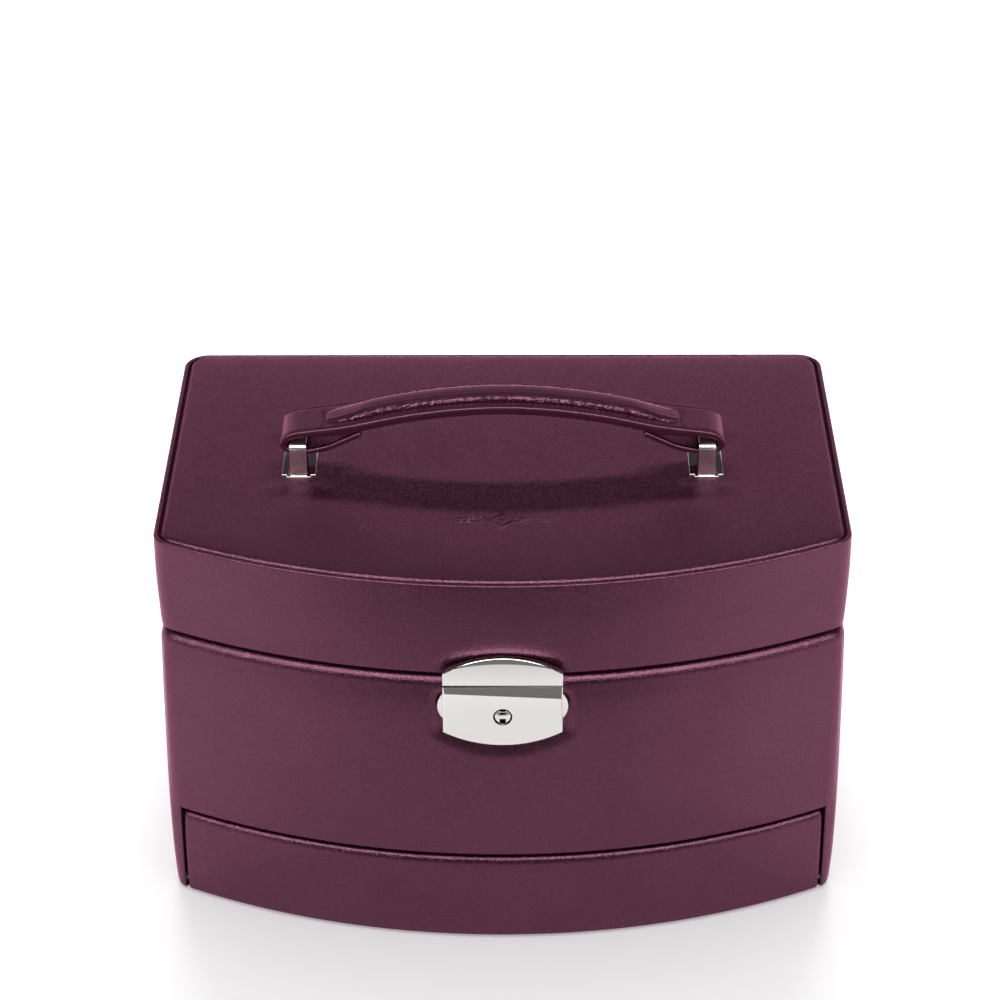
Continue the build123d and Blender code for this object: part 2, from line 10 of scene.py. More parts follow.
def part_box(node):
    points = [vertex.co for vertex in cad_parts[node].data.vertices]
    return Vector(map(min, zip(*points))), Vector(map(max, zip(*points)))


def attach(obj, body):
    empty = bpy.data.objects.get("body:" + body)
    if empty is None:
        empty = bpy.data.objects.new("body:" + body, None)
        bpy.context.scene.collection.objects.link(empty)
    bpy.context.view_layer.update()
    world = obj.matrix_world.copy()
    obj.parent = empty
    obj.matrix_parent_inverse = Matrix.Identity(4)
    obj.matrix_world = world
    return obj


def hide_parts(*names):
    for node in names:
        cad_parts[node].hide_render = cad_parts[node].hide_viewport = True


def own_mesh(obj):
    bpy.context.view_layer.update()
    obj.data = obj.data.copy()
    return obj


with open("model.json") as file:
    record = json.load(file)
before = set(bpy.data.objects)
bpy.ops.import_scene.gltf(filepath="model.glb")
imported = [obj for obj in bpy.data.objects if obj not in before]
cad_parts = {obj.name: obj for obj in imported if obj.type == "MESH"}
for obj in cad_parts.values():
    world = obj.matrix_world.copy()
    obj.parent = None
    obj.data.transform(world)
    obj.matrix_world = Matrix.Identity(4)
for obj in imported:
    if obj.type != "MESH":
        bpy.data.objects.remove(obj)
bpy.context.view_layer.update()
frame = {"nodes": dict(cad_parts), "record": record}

# Shapes are worked out in millimetres, in the CAD's frame, and made in metres.
MM = 0.001


# ---- Places, read from the frame ----

def box_mm(node):
    """Lowest and highest corner of a CAD node, in millimetres."""
    low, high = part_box(node)
    return low / MM, high / MM


lid_low, lid_high = box_mm("lid_band_leather")
body_low, body_high = box_mm("body_leather")
panel_low, _ = box_mm("lid_top_panel")
drawer_low, drawer_high = box_mm("drawer_front_leather")
strap_low, strap_high = box_mm("handle_strap")
_, core_high = box_mm("handle_core")
upper_low, upper_high = box_mm("lock_upper_plate")
lower_low, lower_high = box_mm("lock_lower_plate")
front_board_low, _ = box_mm("front_board")
plate_low, plate_high = box_mm("handle_plate_right")
staple_low, staple_high = box_mm("handle_staple_right")
key_low, key_high = box_mm("key_barrel")
_, shelf_high = box_mm("shelf_board")
_, lid_lining_high = box_mm("lid_lining")
tray_low, tray_high = box_mm("tray_box")
box_low, box_high = box_mm("drawer_box")
felt_low, felt_high = box_mm("base_felt")
glide_low, glide_high = box_mm("drawer_glides")
ledge_low, ledge_high = box_mm("tray_ledges")
partition_low, partition_high = box_mm("tray_partitions")
drawer_wall_low, drawer_wall_high = box_mm("drawer_partitions")
mirror_low, mirror_high = box_mm("mirror")
frame_low, frame_high = box_mm("mirror_frame")
roll_low, roll_high = box_mm("ring_rolls")
pull_low, pull_high = box_mm("tray_pulls")
plate_middle = (plate_low.x + plate_high.x) / 2
plate_half = (plate_high.x - plate_low.x) / 2

# Plan of the case, as in the CAD
HALF_WIDTH = lid_high.x
BACK = lid_high.y
FRONT = lid_low.y
FRONT_BOW = 30.2
CORNER_RADIUS = 9.0
FRONT_RADIUS = (HALF_WIDTH**2 + FRONT_BOW**2) / (2 * FRONT_BOW)
BOW_CENTRE = FRONT + FRONT_RADIUS
LID_TOP = lid_high.z
LID_BOTTOM = lid_low.z
BODY_TOP = body_high.z
BODY_BOTTOM = body_low.z


# ---- Mesh helpers ----

def make_mesh(name, points, faces, sharp=None):
    """Smooth-shaded mesh object from millimetre points. Edges over sharp, in degrees, stay crisp."""
    mesh = bpy.data.meshes.new(name)
    mesh.from_pydata([tuple(c * MM for c in p) for p in points], [], faces)
    mesh.validate()
    shape = bmesh.new()
    shape.from_mesh(mesh)
    bmesh.ops.recalc_face_normals(shape, faces=shape.faces)
    shape.to_mesh(mesh)
    shape.free()
    mesh.polygons.foreach_set("use_smooth", [True] * len(mesh.polygons))
    if sharp is not None:
        mesh.set_sharp_from_angle(angle=math.radians(sharp))
    piece = bpy.data.objects.new(name, mesh)
    bpy.context.scene.collection.objects.link(piece)
    return piece


def grid_faces(rows, columns, wrap_rows=False, wrap_columns=False, start=0):
    """Quads over a grid of points numbered row by row."""
    faces = []
    for i in range(rows if wrap_rows else rows - 1):
        for j in range(columns if wrap_columns else columns - 1):
            a = start + i * columns + j
            b = start + i * columns + (j + 1) % columns
            c = start + (i + 1) % rows * columns + (j + 1) % columns
            d = start + (i + 1) % rows * columns + j
            faces.append((a, b, c, d))
    return faces


def end_caps(points, count, first=0):
    """Faces that close a tube: its first ring of count points and its last one."""
    last = len(points) - count
    return [tuple(range(first, first + count)), tuple(range(last, last + count))]


def add_part(points, faces, part):
    """Add another part's points and faces to these."""
    start = len(points)
    points += part[0]
    faces += [tuple(start + k for k in face) for face in part[1]]


def fill_loops(points, faces, loops, inner, place, dropped=None):
    """Fill flat loops of existing points with triangles that also use the inner places.
    loops: lists of point numbers with their flat places. place(u, v) gives a new point, and dropped(u, v)
    says whether a place lies in a hole."""
    flat, edges, numbers = [], [], []
    for loop in loops:
        start = len(flat)
        for number, spot in loop:
            flat.append(Vector(spot))
            numbers.append(number)
        edges += [(start + k, start + (k + 1) % len(loop)) for k in range(len(loop))]
    known = len(flat)
    flat += [Vector(p) for p in inner]
    found, _, triangles, origins, _, _ = delaunay_2d_cdt(flat, edges, [], 1, 1e-6)
    lookup = []
    for spot, origin in zip(found, origins):
        source = min(origin)
        if source < known:
            lookup.append(numbers[source])
        else:
            lookup.append(len(points))
            points.append(place(spot.x, spot.y))
    for triangle in triangles:
        centre = sum((found[k] for k in triangle), Vector((0, 0))) / 3
        if dropped is None or not dropped(centre.x, centre.y):
            faces.append(tuple(lookup[k] for k in triangle))


def offset_loop(loop, distance):
    """Closed anticlockwise loop of flat points, drawn inwards by a distance."""
    found = []
    for k, (x, y) in enumerate(loop):
        before, after = Vector(loop[k - 1]), Vector(loop[(k + 1) % len(loop)])
        first = (Vector((x, y)) - before).normalized()
        second = (after - Vector((x, y))).normalized()
        turn = 1 + first.dot(second)
        inwards = Vector((-first.y - second.y, first.x + second.x)) / max(turn, 0.35)
        found.append((x + inwards.x * distance, y + inwards.y * distance))
    return found


def bevelled_solid(loop, levels, place):
    """Solid from one flat outline at several levels, each an inset and a depth.
    place(u, v, depth) gives a point."""
    points = []
    for inset, depth in levels:
        points += [place(u, v, depth) for u, v in offset_loop(loop, inset)]
    return points, grid_faces(len(levels), len(loop), False, True) + end_caps(points, len(loop))


def rounding(radius, steps):
    """How far the round between two faces is cut back from each of them, step by step."""
    angles = [math.pi / 2 * k / steps for k in range(steps + 1)]
    return [(radius * (1 - math.cos(a)), radius * (1 - math.sin(a))) for a in angles]


def edge_levels(radius, front, back, steps=4):
    """Levels of a solid whose front edge is rounded: inset and depth."""
    return [(inset, front + depth) for depth, inset in rounding(radius, steps)] + [(0, back)]


def circle(radius, count):
    """Flat points on a circle."""
    angles = [2 * math.pi * k / count for k in range(count)]
    return [(radius * math.cos(a), radius * math.sin(a)) for a in angles]


def sweep(path, section):
    """Closed solid from a section of flat points carried along a path of (centre, side, up) frames."""
    points = []
    for centre, side, up in path:
        points += [centre + side * u + up * v for u, v in section]
    return points, grid_faces(len(path), len(section), False, True) + end_caps(points, len(section))


def rounded_rectangle(half_width, half_height, radius, steps=4):
    """Anticlockwise rounded rectangle."""
    found = []
    for cx, cy, start in ((1, 1, 0), (-1, 1, 90), (-1, -1, 180), (1, -1, 270)):
        for k in range(steps + 1):
            angle = math.radians(start + 90 * k / steps)
            x = cx * (half_width - radius) + radius * math.cos(angle)
            y = cy * (half_height - radius) + radius * math.sin(angle)
            found.append((x, y))
    return found


def smoothstep(low, high, value):
    """0 below low, 1 above high, smooth between."""
    t = min(max((value - low) / (high - low), 0.0), 1.0)
    return t * t * (3 - 2 * t)


def bump(value, centre, width):
    """1 at the centre, falling smoothly to 0 at centre plus or minus width."""
    t = abs(value - centre) / width
    return 0.0 if t >= 1 else (1 - t * t)**2


def curve_points(controls, step):
    """Points along a Catmull-Rom curve through the controls, about step apart."""
    pts = [Vector(c) for c in controls]
    pts = [2 * pts[0] - pts[1]] + pts + [2 * pts[-1] - pts[-2]]
    found = []
    for a, b, c, d in zip(pts, pts[1:], pts[2:], pts[3:]):
        count = max(2, round((c - b).length / step))
        for k in range(count):
            t = k / count
            found.append(0.5 * (2 * b + (c - a) * t + (2 * a - 5 * b + 4 * c - d) * t**2
                                + (3 * b - a - 3 * c + d) * t**3))
    return found + [pts[-2]]


def add_piece(name, points, faces, body, slot, replaced=(), sharp=None, material=None):
    """Mesh piece with its body, its slot, the CAD nodes that it stands for, and the slot's material or
    another. Edges over sharp, in degrees, stay crisp."""
    piece = make_mesh(name, points, faces, sharp)
    piece.data.materials.append(MATERIALS[material or slot])
    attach(piece, body)
    if replaced:
        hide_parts(*replaced)
    return piece


# ---- Plan of the case ----

def bow_y(inset, x):
    """Y of the bowed front at an inset and X."""
    return BOW_CENTRE - math.sqrt((FRONT_RADIUS - inset)**2 - x * x)


def plan_ring(inset, half=None, back=None, corner=None, counts=(30, 8, 34, 120)):
    """Points round the plan at an inset, anticlockwise from above from the middle of the back, each with its
    outward direction. counts gives the points on half the back, a corner, a side and the front."""
    a = HALF_WIDTH - inset if half is None else half
    b = BACK - inset if back is None else back
    r = max(CORNER_RADIUS - inset if corner is None else corner, 0.4)
    radius = FRONT_RADIUS - inset
    corner_y = BOW_CENTRE - math.sqrt((radius - r)**2 - (a - r)**2)
    lean = math.asin((a - r) / (radius - r))
    half_pi = math.pi / 2
    along_back, round_corner, along_side, along_front = counts
    path = line_points((0, b), (-a + r, b), (0, 1), along_back)
    path += arc_points((-a + r, b - r), r, half_pi, math.pi, round_corner)
    path += line_points((-a, b - r), (-a, corner_y), (-1, 0), along_side)
    path += arc_points((-a + r, corner_y), r, math.pi, 3 * half_pi - lean, round_corner)
    path += arc_points((0, BOW_CENTRE), radius, -half_pi - lean, -half_pi + lean, along_front)
    path += arc_points((a - r, corner_y), r, -half_pi + lean, 0, round_corner)
    path += line_points((a, corner_y), (a, b - r), (1, 0), along_side)
    path += arc_points((a - r, b - r), r, 0, half_pi, round_corner)
    path += line_points((a - r, b), (0, b), (0, 1), along_back)
    return path


def arc_points(centre, radius, start, end, count):
    """Points and outward directions on an arc, without its last point. Angles in radians."""
    found = []
    for k in range(count):
        angle = start + (end - start) * k / count
        out = (math.cos(angle), math.sin(angle))
        found.append((centre[0] + radius * out[0], centre[1] + radius * out[1], *out))
    return found


def line_points(start, end, out, count):
    """Points on a line with one outward direction, without its last point."""
    x, y = start
    across, along = end[0] - start[0], end[1] - start[1]
    return [(x + across * k / count, y + along * k / count, *out) for k in range(count)]


def in_plan(inset, x, y, half=None, back=None):
    """Whether a place lies inside the plan at an inset."""
    a = HALF_WIDTH - inset if half is None else half
    b = BACK - inset if back is None else back
    return abs(x) < a and y < b and y > bow_y(inset, abs(x))


def plan_point(station, inset):
    """Point of the plan drawn in by an inset at a path station."""
    x, y, nx, ny = station
    return x - inset * nx, y - inset * ny


# A station's outward Y below this: it lies on the bowed front and not on a corner
ON_FRONT = -0.85


def facing_front(ny):
    """1 on the front, 0 on the sides and back, from a station's outward Y."""
    return smoothstep(0.35, 0.75, -ny)


def loft(stations, section, place):
    """Points and faces of a section carried round the stations. place(station, spot) gives a point."""
    points = [place(station, spot) for station in stations for spot in section]
    return points, grid_faces(len(stations), len(section), True)


def quarter(centre, radius, start, end, count):
    """Section points on an arc, in inset and height. Angles in degrees: 0 is inwards and 90 up."""
    found = []
    for k in range(count + 1):
        angle = math.radians(start + (end - start) * k / count)
        found.append((centre[0] + radius * math.cos(angle), centre[1] + radius * math.sin(angle)))
    return found


def wrinkle(x, y, z, size):
    """Smooth noise from -1 to 1 with a given size of feature in millimetres."""
    return noise.noise(Vector((x, y, z)) / size)


# ---- Materials ----

def new_material(name):
    """New material, its node tree, its Principled shader and its object coordinates, in metres."""
    material = bpy.data.materials.new(name)
    material.use_nodes = True
    tree = material.node_tree
    place = tree.nodes.new("ShaderNodeTexCoord").outputs["Object"]
    return material, tree, tree.nodes["Principled BSDF"], place


def texture(tree, kind, coordinates, **values):
    """Texture node fed by coordinates, with named inputs set."""
    node = tree.nodes.new(kind)
    tree.links.new(coordinates, node.inputs["Vector"])
    for key, value in values.items():
        node.inputs[key].default_value = value
    return node


def between(tree, value, low, high):
    """Number that goes from low to high as a value goes from 0 to 1."""
    node = tree.nodes.new("ShaderNodeMapRange")
    tree.links.new(value, node.inputs["Value"])
    node.inputs["To Min"].default_value = low
    node.inputs["To Max"].default_value = high
    return node.outputs["Result"]


def ramp(tree, value, start, end, low, high):
    """Number that goes smoothly from low to high as a value goes from start to end."""
    result = between(tree, value, low, high)
    result.node.interpolation_type = "SMOOTHSTEP"
    result.node.inputs["From Min"].default_value = start
    result.node.inputs["From Max"].default_value = end
    return result


def compute(tree, operation, *values):
    """Result of a math node."""
    node = tree.nodes.new("ShaderNodeMath")
    node.operation = operation
    for socket, value in zip(node.inputs, values):
        tree.links.new(value, socket)
    return node.outputs[0]


def colour_surface(tree, shader, factor, first, second):
    """Base colour that goes from first to second with the factor."""
    node = tree.nodes.new("ShaderNodeMix")
    node.data_type = "RGBA"
    tree.links.new(factor, node.inputs["Factor"])
    node.inputs["A"].default_value = (*first, 1)
    node.inputs["B"].default_value = (*second, 1)
    tree.links.new(node.outputs["Result"], shader.inputs["Base Color"])


def add_bump(tree, height, strength, distance, normal=None):
    """Normal of a bump over another one. Distance in metres."""
    node = tree.nodes.new("ShaderNodeBump")
    node.inputs["Strength"].default_value = strength
    node.inputs["Distance"].default_value = distance
    tree.links.new(height, node.inputs["Height"])
    if normal is not None:
        tree.links.new(normal, node.inputs["Normal"])
    return node.outputs["Normal"]


LEATHER_DARK = (0.145, 0.047, 0.082)
LEATHER_LIGHT = (0.180, 0.060, 0.104)
LEATHER_SHINE = (1.0, 0.37, 0.60)
GRAIN_DEPTH = 0.00010


def leather(name, grain_size=0.0010, grain=0.45, rough_low=0.25, rough_high=0.31):
    """Smooth dyed leather: fine pebble grain, faint broad mottling and a tinted satin shine.
    grain_size is in metres, and grain is how strongly the creases between the pebbles show."""
    material, tree, shader, place = new_material(name)
    pebble = texture(tree, "ShaderNodeTexVoronoi", place, Scale=1 / grain_size, Randomness=1.0)
    pebble.feature = "DISTANCE_TO_EDGE"
    crease = ramp(tree, pebble.outputs["Distance"], 0.0, 0.30, 0.0, 1.0)
    pores = texture(tree, "ShaderNodeTexNoise", place, Scale=0.55 / grain_size, Detail=3.0, Roughness=0.6)
    mottle = texture(tree, "ShaderNodeTexNoise", place, Scale=38.0, Detail=4.0, Roughness=0.55)
    colour_surface(tree, shader, mottle.outputs["Fac"], LEATHER_DARK, LEATHER_LIGHT)
    tree.links.new(between(tree, pores.outputs["Fac"], rough_low, rough_high), shader.inputs["Roughness"])
    shader.inputs["Metallic"].default_value = 0.5
    shader.inputs["Specular IOR Level"].default_value = 0.3
    shader.inputs["Specular Tint"].default_value = (*LEATHER_SHINE, 1)
    tree.links.new(add_bump(tree, crease, grain, GRAIN_DEPTH), shader.inputs["Normal"])
    return material


def nickel(name, roughness=0.06, colour=(0.80, 0.77, 0.745)):
    """Nickel plate with the faintest cloudiness."""
    material, tree, shader, place = new_material(name)
    cloud = texture(tree, "ShaderNodeTexNoise", place, Scale=260.0, Detail=5.0, Roughness=0.6)
    colour_surface(tree, shader, cloud.outputs["Fac"], tuple(c * 0.97 for c in colour), colour)
    shader.inputs["Metallic"].default_value = 1.0
    rough = between(tree, cloud.outputs["Fac"], roughness * 0.7, roughness * 1.4)
    tree.links.new(rough, shader.inputs["Roughness"])
    return material


def steel(name):
    """Plain drawn steel with fine lines along X."""
    material, tree, shader, place = new_material(name)
    stretch = tree.nodes.new("ShaderNodeMapping")
    stretch.inputs["Scale"].default_value = (120, 2600, 2600)
    tree.links.new(place, stretch.inputs["Vector"])
    lines = texture(tree, "ShaderNodeTexNoise", stretch.outputs["Vector"], Scale=1.0, Detail=3.0)
    colour_surface(tree, shader, lines.outputs["Fac"], (0.36, 0.36, 0.37), (0.52, 0.52, 0.53))
    shader.inputs["Metallic"].default_value = 1.0
    tree.links.new(between(tree, lines.outputs["Fac"], 0.22, 0.42), shader.inputs["Roughness"])
    return material


def velour(name, dark, light):
    """Short brushed pile: soft sheen, tiny tufts and brushed patches."""
    material, tree, shader, place = new_material(name)
    tufts = texture(tree, "ShaderNodeTexNoise", place, Scale=2600.0, Detail=2.0, Roughness=0.7)
    patches = texture(tree, "ShaderNodeTexNoise", place, Scale=55.0, Detail=5.0, Roughness=0.6)
    colour_surface(tree, shader, patches.outputs["Fac"], dark, light)
    tree.links.new(between(tree, tufts.outputs["Fac"], 0.82, 1.0), shader.inputs["Roughness"])
    shader.inputs["Specular IOR Level"].default_value = 0.15
    shader.inputs["Sheen Weight"].default_value = 0.6
    shader.inputs["Sheen Roughness"].default_value = 0.35
    shader.inputs["Sheen Tint"].default_value = (1.0, 0.97, 0.92, 1)
    normal = add_bump(tree, tufts.outputs["Fac"], 0.5, 0.00025)
    normal = add_bump(tree, patches.outputs["Fac"], 0.15, 0.0012, normal)
    tree.links.new(normal, shader.inputs["Normal"])
    return material


def board(name):
    """Grey-brown fibre board with flecks."""
    material, tree, shader, place = new_material(name)
    flecks = texture(tree, "ShaderNodeTexNoise", place, Scale=900.0, Detail=6.0, Roughness=0.7)
    colour_surface(tree, shader, flecks.outputs["Fac"], (0.20, 0.14, 0.085), (0.42, 0.33, 0.23))
    shader.inputs["Roughness"].default_value = 0.85
    tree.links.new(add_bump(tree, flecks.outputs["Fac"], 0.3, 0.0002), shader.inputs["Normal"])
    return material


def foam_material(name):
    """Pale open foam."""
    material, tree, shader, place = new_material(name)
    cells = texture(tree, "ShaderNodeTexVoronoi", place, Scale=1400.0)
    colour_surface(tree, shader, cells.outputs["Distance"], (0.62, 0.58, 0.48), (0.82, 0.79, 0.70))
    shader.inputs["Roughness"].default_value = 0.95
    tree.links.new(add_bump(tree, cells.outputs["Distance"], 0.6, 0.0003), shader.inputs["Normal"])
    return material


def mirror_glass(name):
    """Silvered glass with a trace of dust."""
    material, tree, shader, place = new_material(name)
    dust = texture(tree, "ShaderNodeTexNoise", place, Scale=90.0, Detail=6.0)
    shader.inputs["Base Color"].default_value = (0.88, 0.90, 0.90, 1)
    shader.inputs["Metallic"].default_value = 1.0
    tree.links.new(between(tree, dust.outputs["Fac"], 0.01, 0.05), shader.inputs["Roughness"])
    return material


MATERIALS = {
    "leather_outer": leather("plum_leather"),
    "leather_handle": leather("plum_strap_leather", 0.0007, 0.25, 0.22, 0.29),
    "nickel": nickel("polished_nickel"),
    "satin": nickel("satin_nickel", roughness=0.24, colour=(0.72, 0.69, 0.66)),
    "steel": steel("drawn_steel"),
    "velour": velour("cream_velour", (0.56, 0.47, 0.37), (0.72, 0.63, 0.52)),
    "felt": velour("plum_felt", (0.022, 0.011, 0.016), (0.040, 0.020, 0.029)),
    "board": board("fibre_board"),
    "foam": foam_material("pale_foam"),
    "mirror_glass": mirror_glass("silvered_glass"),
}


# ---- Lid band ----

# Points on half the back, a corner, a side and the front, for the skins that show closely
FINE = (110, 16, 140, 250)

# The band leans in by the narrowing at its foot, and swells a little between foot and rim
LID_NARROWING = 0.85
LID_SWELL = 0.35
LID_FOOT_ROLL = 1.5
RIM_WIDTH = 1.6
GROOVE_BOTTOM = panel_low.z + 0.2

# The upper lock plate's arc: height of its ends, and how far its middle rises over them
UPPER_CORNER = 114.3
UPPER_RISE = 5.9


def lid_section():
    """Section of the band, in inset and height, from the underside round the outside to the groove."""
    foot = (LID_NARROWING + LID_FOOT_ROLL, LID_BOTTOM + LID_FOOT_ROLL)
    rim = RIM_WIDTH / 2
    turned_in = 3.9
    section = [(turned_in, LID_BOTTOM + 0.75), (turned_in, LID_BOTTOM), (3.2, LID_BOTTOM)]
    section += quarter(foot, LID_FOOT_ROLL, 270, 180, 6)
    top = LID_TOP - rim
    steps = 20
    for k in range(1, steps):
        share = k / steps
        z = foot[1] + (top - foot[1]) * share
        section.append((LID_NARROWING * (1 - share) - LID_SWELL * math.sin(math.pi * share), z))
    section += quarter((rim, top), rim, 180, 0, 8)
    section += [(RIM_WIDTH, top - 1.0), (RIM_WIDTH, GROOVE_BOTTOM), (RIM_WIDTH + 1.6, GROOVE_BOTTOM - 0.1)]
    return section


def lid_dent(x, z):
    """How far the leather above the lock plate is drawn in, with fine puckers round the plate."""
    half = (upper_high.x - upper_low.x) / 2
    reach = 16
    if abs(x) > half + reach or z > upper_high.z + reach:
        return 0.0
    arch = upper_high.z - (upper_high.z - UPPER_CORNER) * (x / half)**2
    beyond = z - arch
    side = smoothstep(half + 4, half - 1, abs(x))
    dent = side * smoothstep(6.5, -2.5, beyond)
    ridge = bump(beyond, 5.0, 3.5) * smoothstep(half + 9, half - 2, abs(x))
    puckers = wrinkle(x * 1.3, z * 0.5, 3.0, 0.9) * bump(beyond, 2.4, 3.6) * side
    return 0.9 * dent - 0.04 * ridge + 0.22 * puckers


def make_lid_band():
    """Leather over the lid's sides and rim."""
    path = plan_ring(0, counts=FINE)
    section = lid_section()

    def place(station, spot):
        x, y, _, ny = station
        inset, z = spot
        soft = 0.07 * wrinkle(x, y, z, 14)
        if ny < ON_FRONT:
            soft += lid_dent(plan_point(station, inset)[0], z)
        soft *= smoothstep(LID_BOTTOM, LID_BOTTOM + 2, z) * smoothstep(LID_TOP - 0.5, LID_TOP - 2.5, z)
        return (*plan_point(station, inset + soft), z)

    points, faces = loft(path, section, place)
    add_piece("lid_band_skin", points, faces, "lid", "leather_outer", ["lid_band_leather"])


# ---- Lid panel ----

PANEL_INSET = 2.3
PANEL_ROLL = 1.8
PANEL_DOME = 0.9
ORNAMENT_Y = -41.0
ORNAMENT_DEPTH = 0.42

# Half the width and depth of the patch round the ornament that has finer points, and their spacing
PATCH_HALF = (19.5, 4.6)
PATCH_STEP = 0.26


def ornament_depth(x, y):
    """Plain pressed ornament: a lozenge between two pairs of tapering bars."""
    y = y - ORNAMENT_Y
    lozenge = abs(abs(x) / 4.6 + abs(y) / 3.5 - 1)
    inner = abs(x) / 2.0 + abs(y) / 1.5
    depth = smoothstep(0.26, 0.14, lozenge) + smoothstep(1.0, 0.75, inner)
    if 5.8 < abs(x) < 16.0:
        width = 0.55 * (1 - (abs(x) - 5.8) / 14.0)
        for line in (-1.1, 1.1):
            depth += smoothstep(width + 0.16, width, abs(y - line))
    return ORNAMENT_DEPTH * min(depth, 1.0)


def panel_height(x, y):
    """Height of the padded panel: it falls away near the front, less so near the sides and back, and it
    dips round the bracket plates."""
    across = math.hypot(x, y - BOW_CENTRE)
    front = max(FRONT_RADIUS - PANEL_INSET - across, 0)
    side = max(HALF_WIDTH - PANEL_INSET - abs(x), 0)
    back = max(BACK - PANEL_INSET - y, 0)
    dome = 1.0
    for distance, share, reach in ((front, 1.0, 7.0), (side, 0.8, 5.0), (back, 0.65, 6.0)):
        dome *= 1 - share * math.exp(-distance / reach)
    height = LID_TOP + 0.1 + PANEL_DOME * dome + 0.04 * wrinkle(x, y, 0, 34)
    beyond = max(abs(abs(x) - plate_middle) - plate_half, abs(y) - plate_high.y)
    return height - (height - plate_high.z + 0.45) * smoothstep(9.0, 0.0, beyond)


def make_lid_panel():
    """Padded panel set into the lid's rim: rolled edge, slight dome and the pressed ornament."""
    rolls = [PANEL_ROLL * k / 6 for k in range(7)] + [2.4, 3.3, 4.5, 6.0]
    first = plan_ring(PANEL_INSET)
    points = [(x, y, GROOVE_BOTTOM) for x, y, _, _ in first]
    for extra in rolls:
        left = max(PANEL_ROLL - extra, 0)
        drop = PANEL_ROLL - math.sqrt(PANEL_ROLL**2 - left**2)
        points += [(x, y, panel_height(x, y) - drop) for x, y, _, _ in plan_ring(PANEL_INSET + extra)]
    count = len(first)
    faces = grid_faces(len(rolls) + 1, count, False, True)
    inset = PANEL_INSET + rolls[-1] + 1.6
    inner = []
    columns, rows = 112, 60
    for i in range(columns + 1):
        x = (HALF_WIDTH - inset) * (2 * i / columns - 1)
        low, high = bow_y(inset, x), BACK - inset
        for j in range(rows + 1):
            y = low + (high - low) * j / rows
            if abs(x) > PATCH_HALF[0] or abs(y - ORNAMENT_Y) > PATCH_HALF[1]:
                inner.append((x, y))
    inner += [(i * PATCH_STEP, ORNAMENT_Y + j * PATCH_STEP) for i in range(-72, 73) for j in range(-15, 16)]
    ring = [(k, points[k][:2]) for k in range(len(points) - count, len(points))]

    def place(x, y):
        return x, y, panel_height(x, y) - ornament_depth(x, y)

    fill_loops(points, faces, [ring], inner, place)
    add_piece("lid_panel_skin", points, faces, "lid", "leather_outer", ["lid_top_panel"])


# ---- Body leather ----

BODY_INSET = 0.5
TOP_ROLL = 4.6
SHELF_EDGE = front_board_low.z

# Half the width of the drawer's mouth, the roll of the leather over its upper edge and that at the foot
MOUTH_HALF = 115.6
MOUTH_ROLL = 1.2
FOOT_ROLL = 0.8
FOLD_ANGLES = (30, 60, 90)

# How deep the ends of the leather are turned in
TURNED_IN = 3.4

# Height of the ends of the lower lock plate's arc
LOWER_CORNER = 90.3


def body_inset(z, front):
    """Inset of the padded outer face at a height. The front bulges out over its board, down to the drawer,
    and the sides and back spread towards the bottom. front is 1 on the front and 0 on the sides and back."""
    share = min(max((BODY_TOP - z) / (BODY_TOP - BODY_BOTTOM), 0), 1)
    swell = math.sin(math.pi * min(share**0.85, 1.0))
    sides = BODY_INSET - 1.35 * share**0.8 * (1 - share**6) - 0.25 * swell
    within = min(max((BODY_TOP - z) / (BODY_TOP - SHELF_EDGE), 0), 1)
    below = max(BODY_TOP - TOP_ROLL - z, 0)
    face = -1.0 * (1 - math.exp(-below / 4.0)) * (1 - 0.9 * within**8)
    return face * front + sides * (1 - front)


def lock_dent(x, z):
    """How far the leather beside and under the lower lock plate is drawn in."""
    half = (lower_high.x - lower_low.x) / 2
    arch = lower_low.z + (LOWER_CORNER - lower_low.z) * (x / half)**2
    under = arch - z
    beside = abs(x) - half
    gap = max(under, beside)
    if gap > 12:
        return 0.0
    puckers = wrinkle(x, z, 8.0, 1.6) * bump(gap, 2.5, 4.0)
    below_roll = smoothstep(BODY_TOP - TOP_ROLL, BODY_TOP - TOP_ROLL - 3.5, z)
    return below_roll * (1.9 * smoothstep(5.5, 0.4, gap) + 0.14 * puckers)


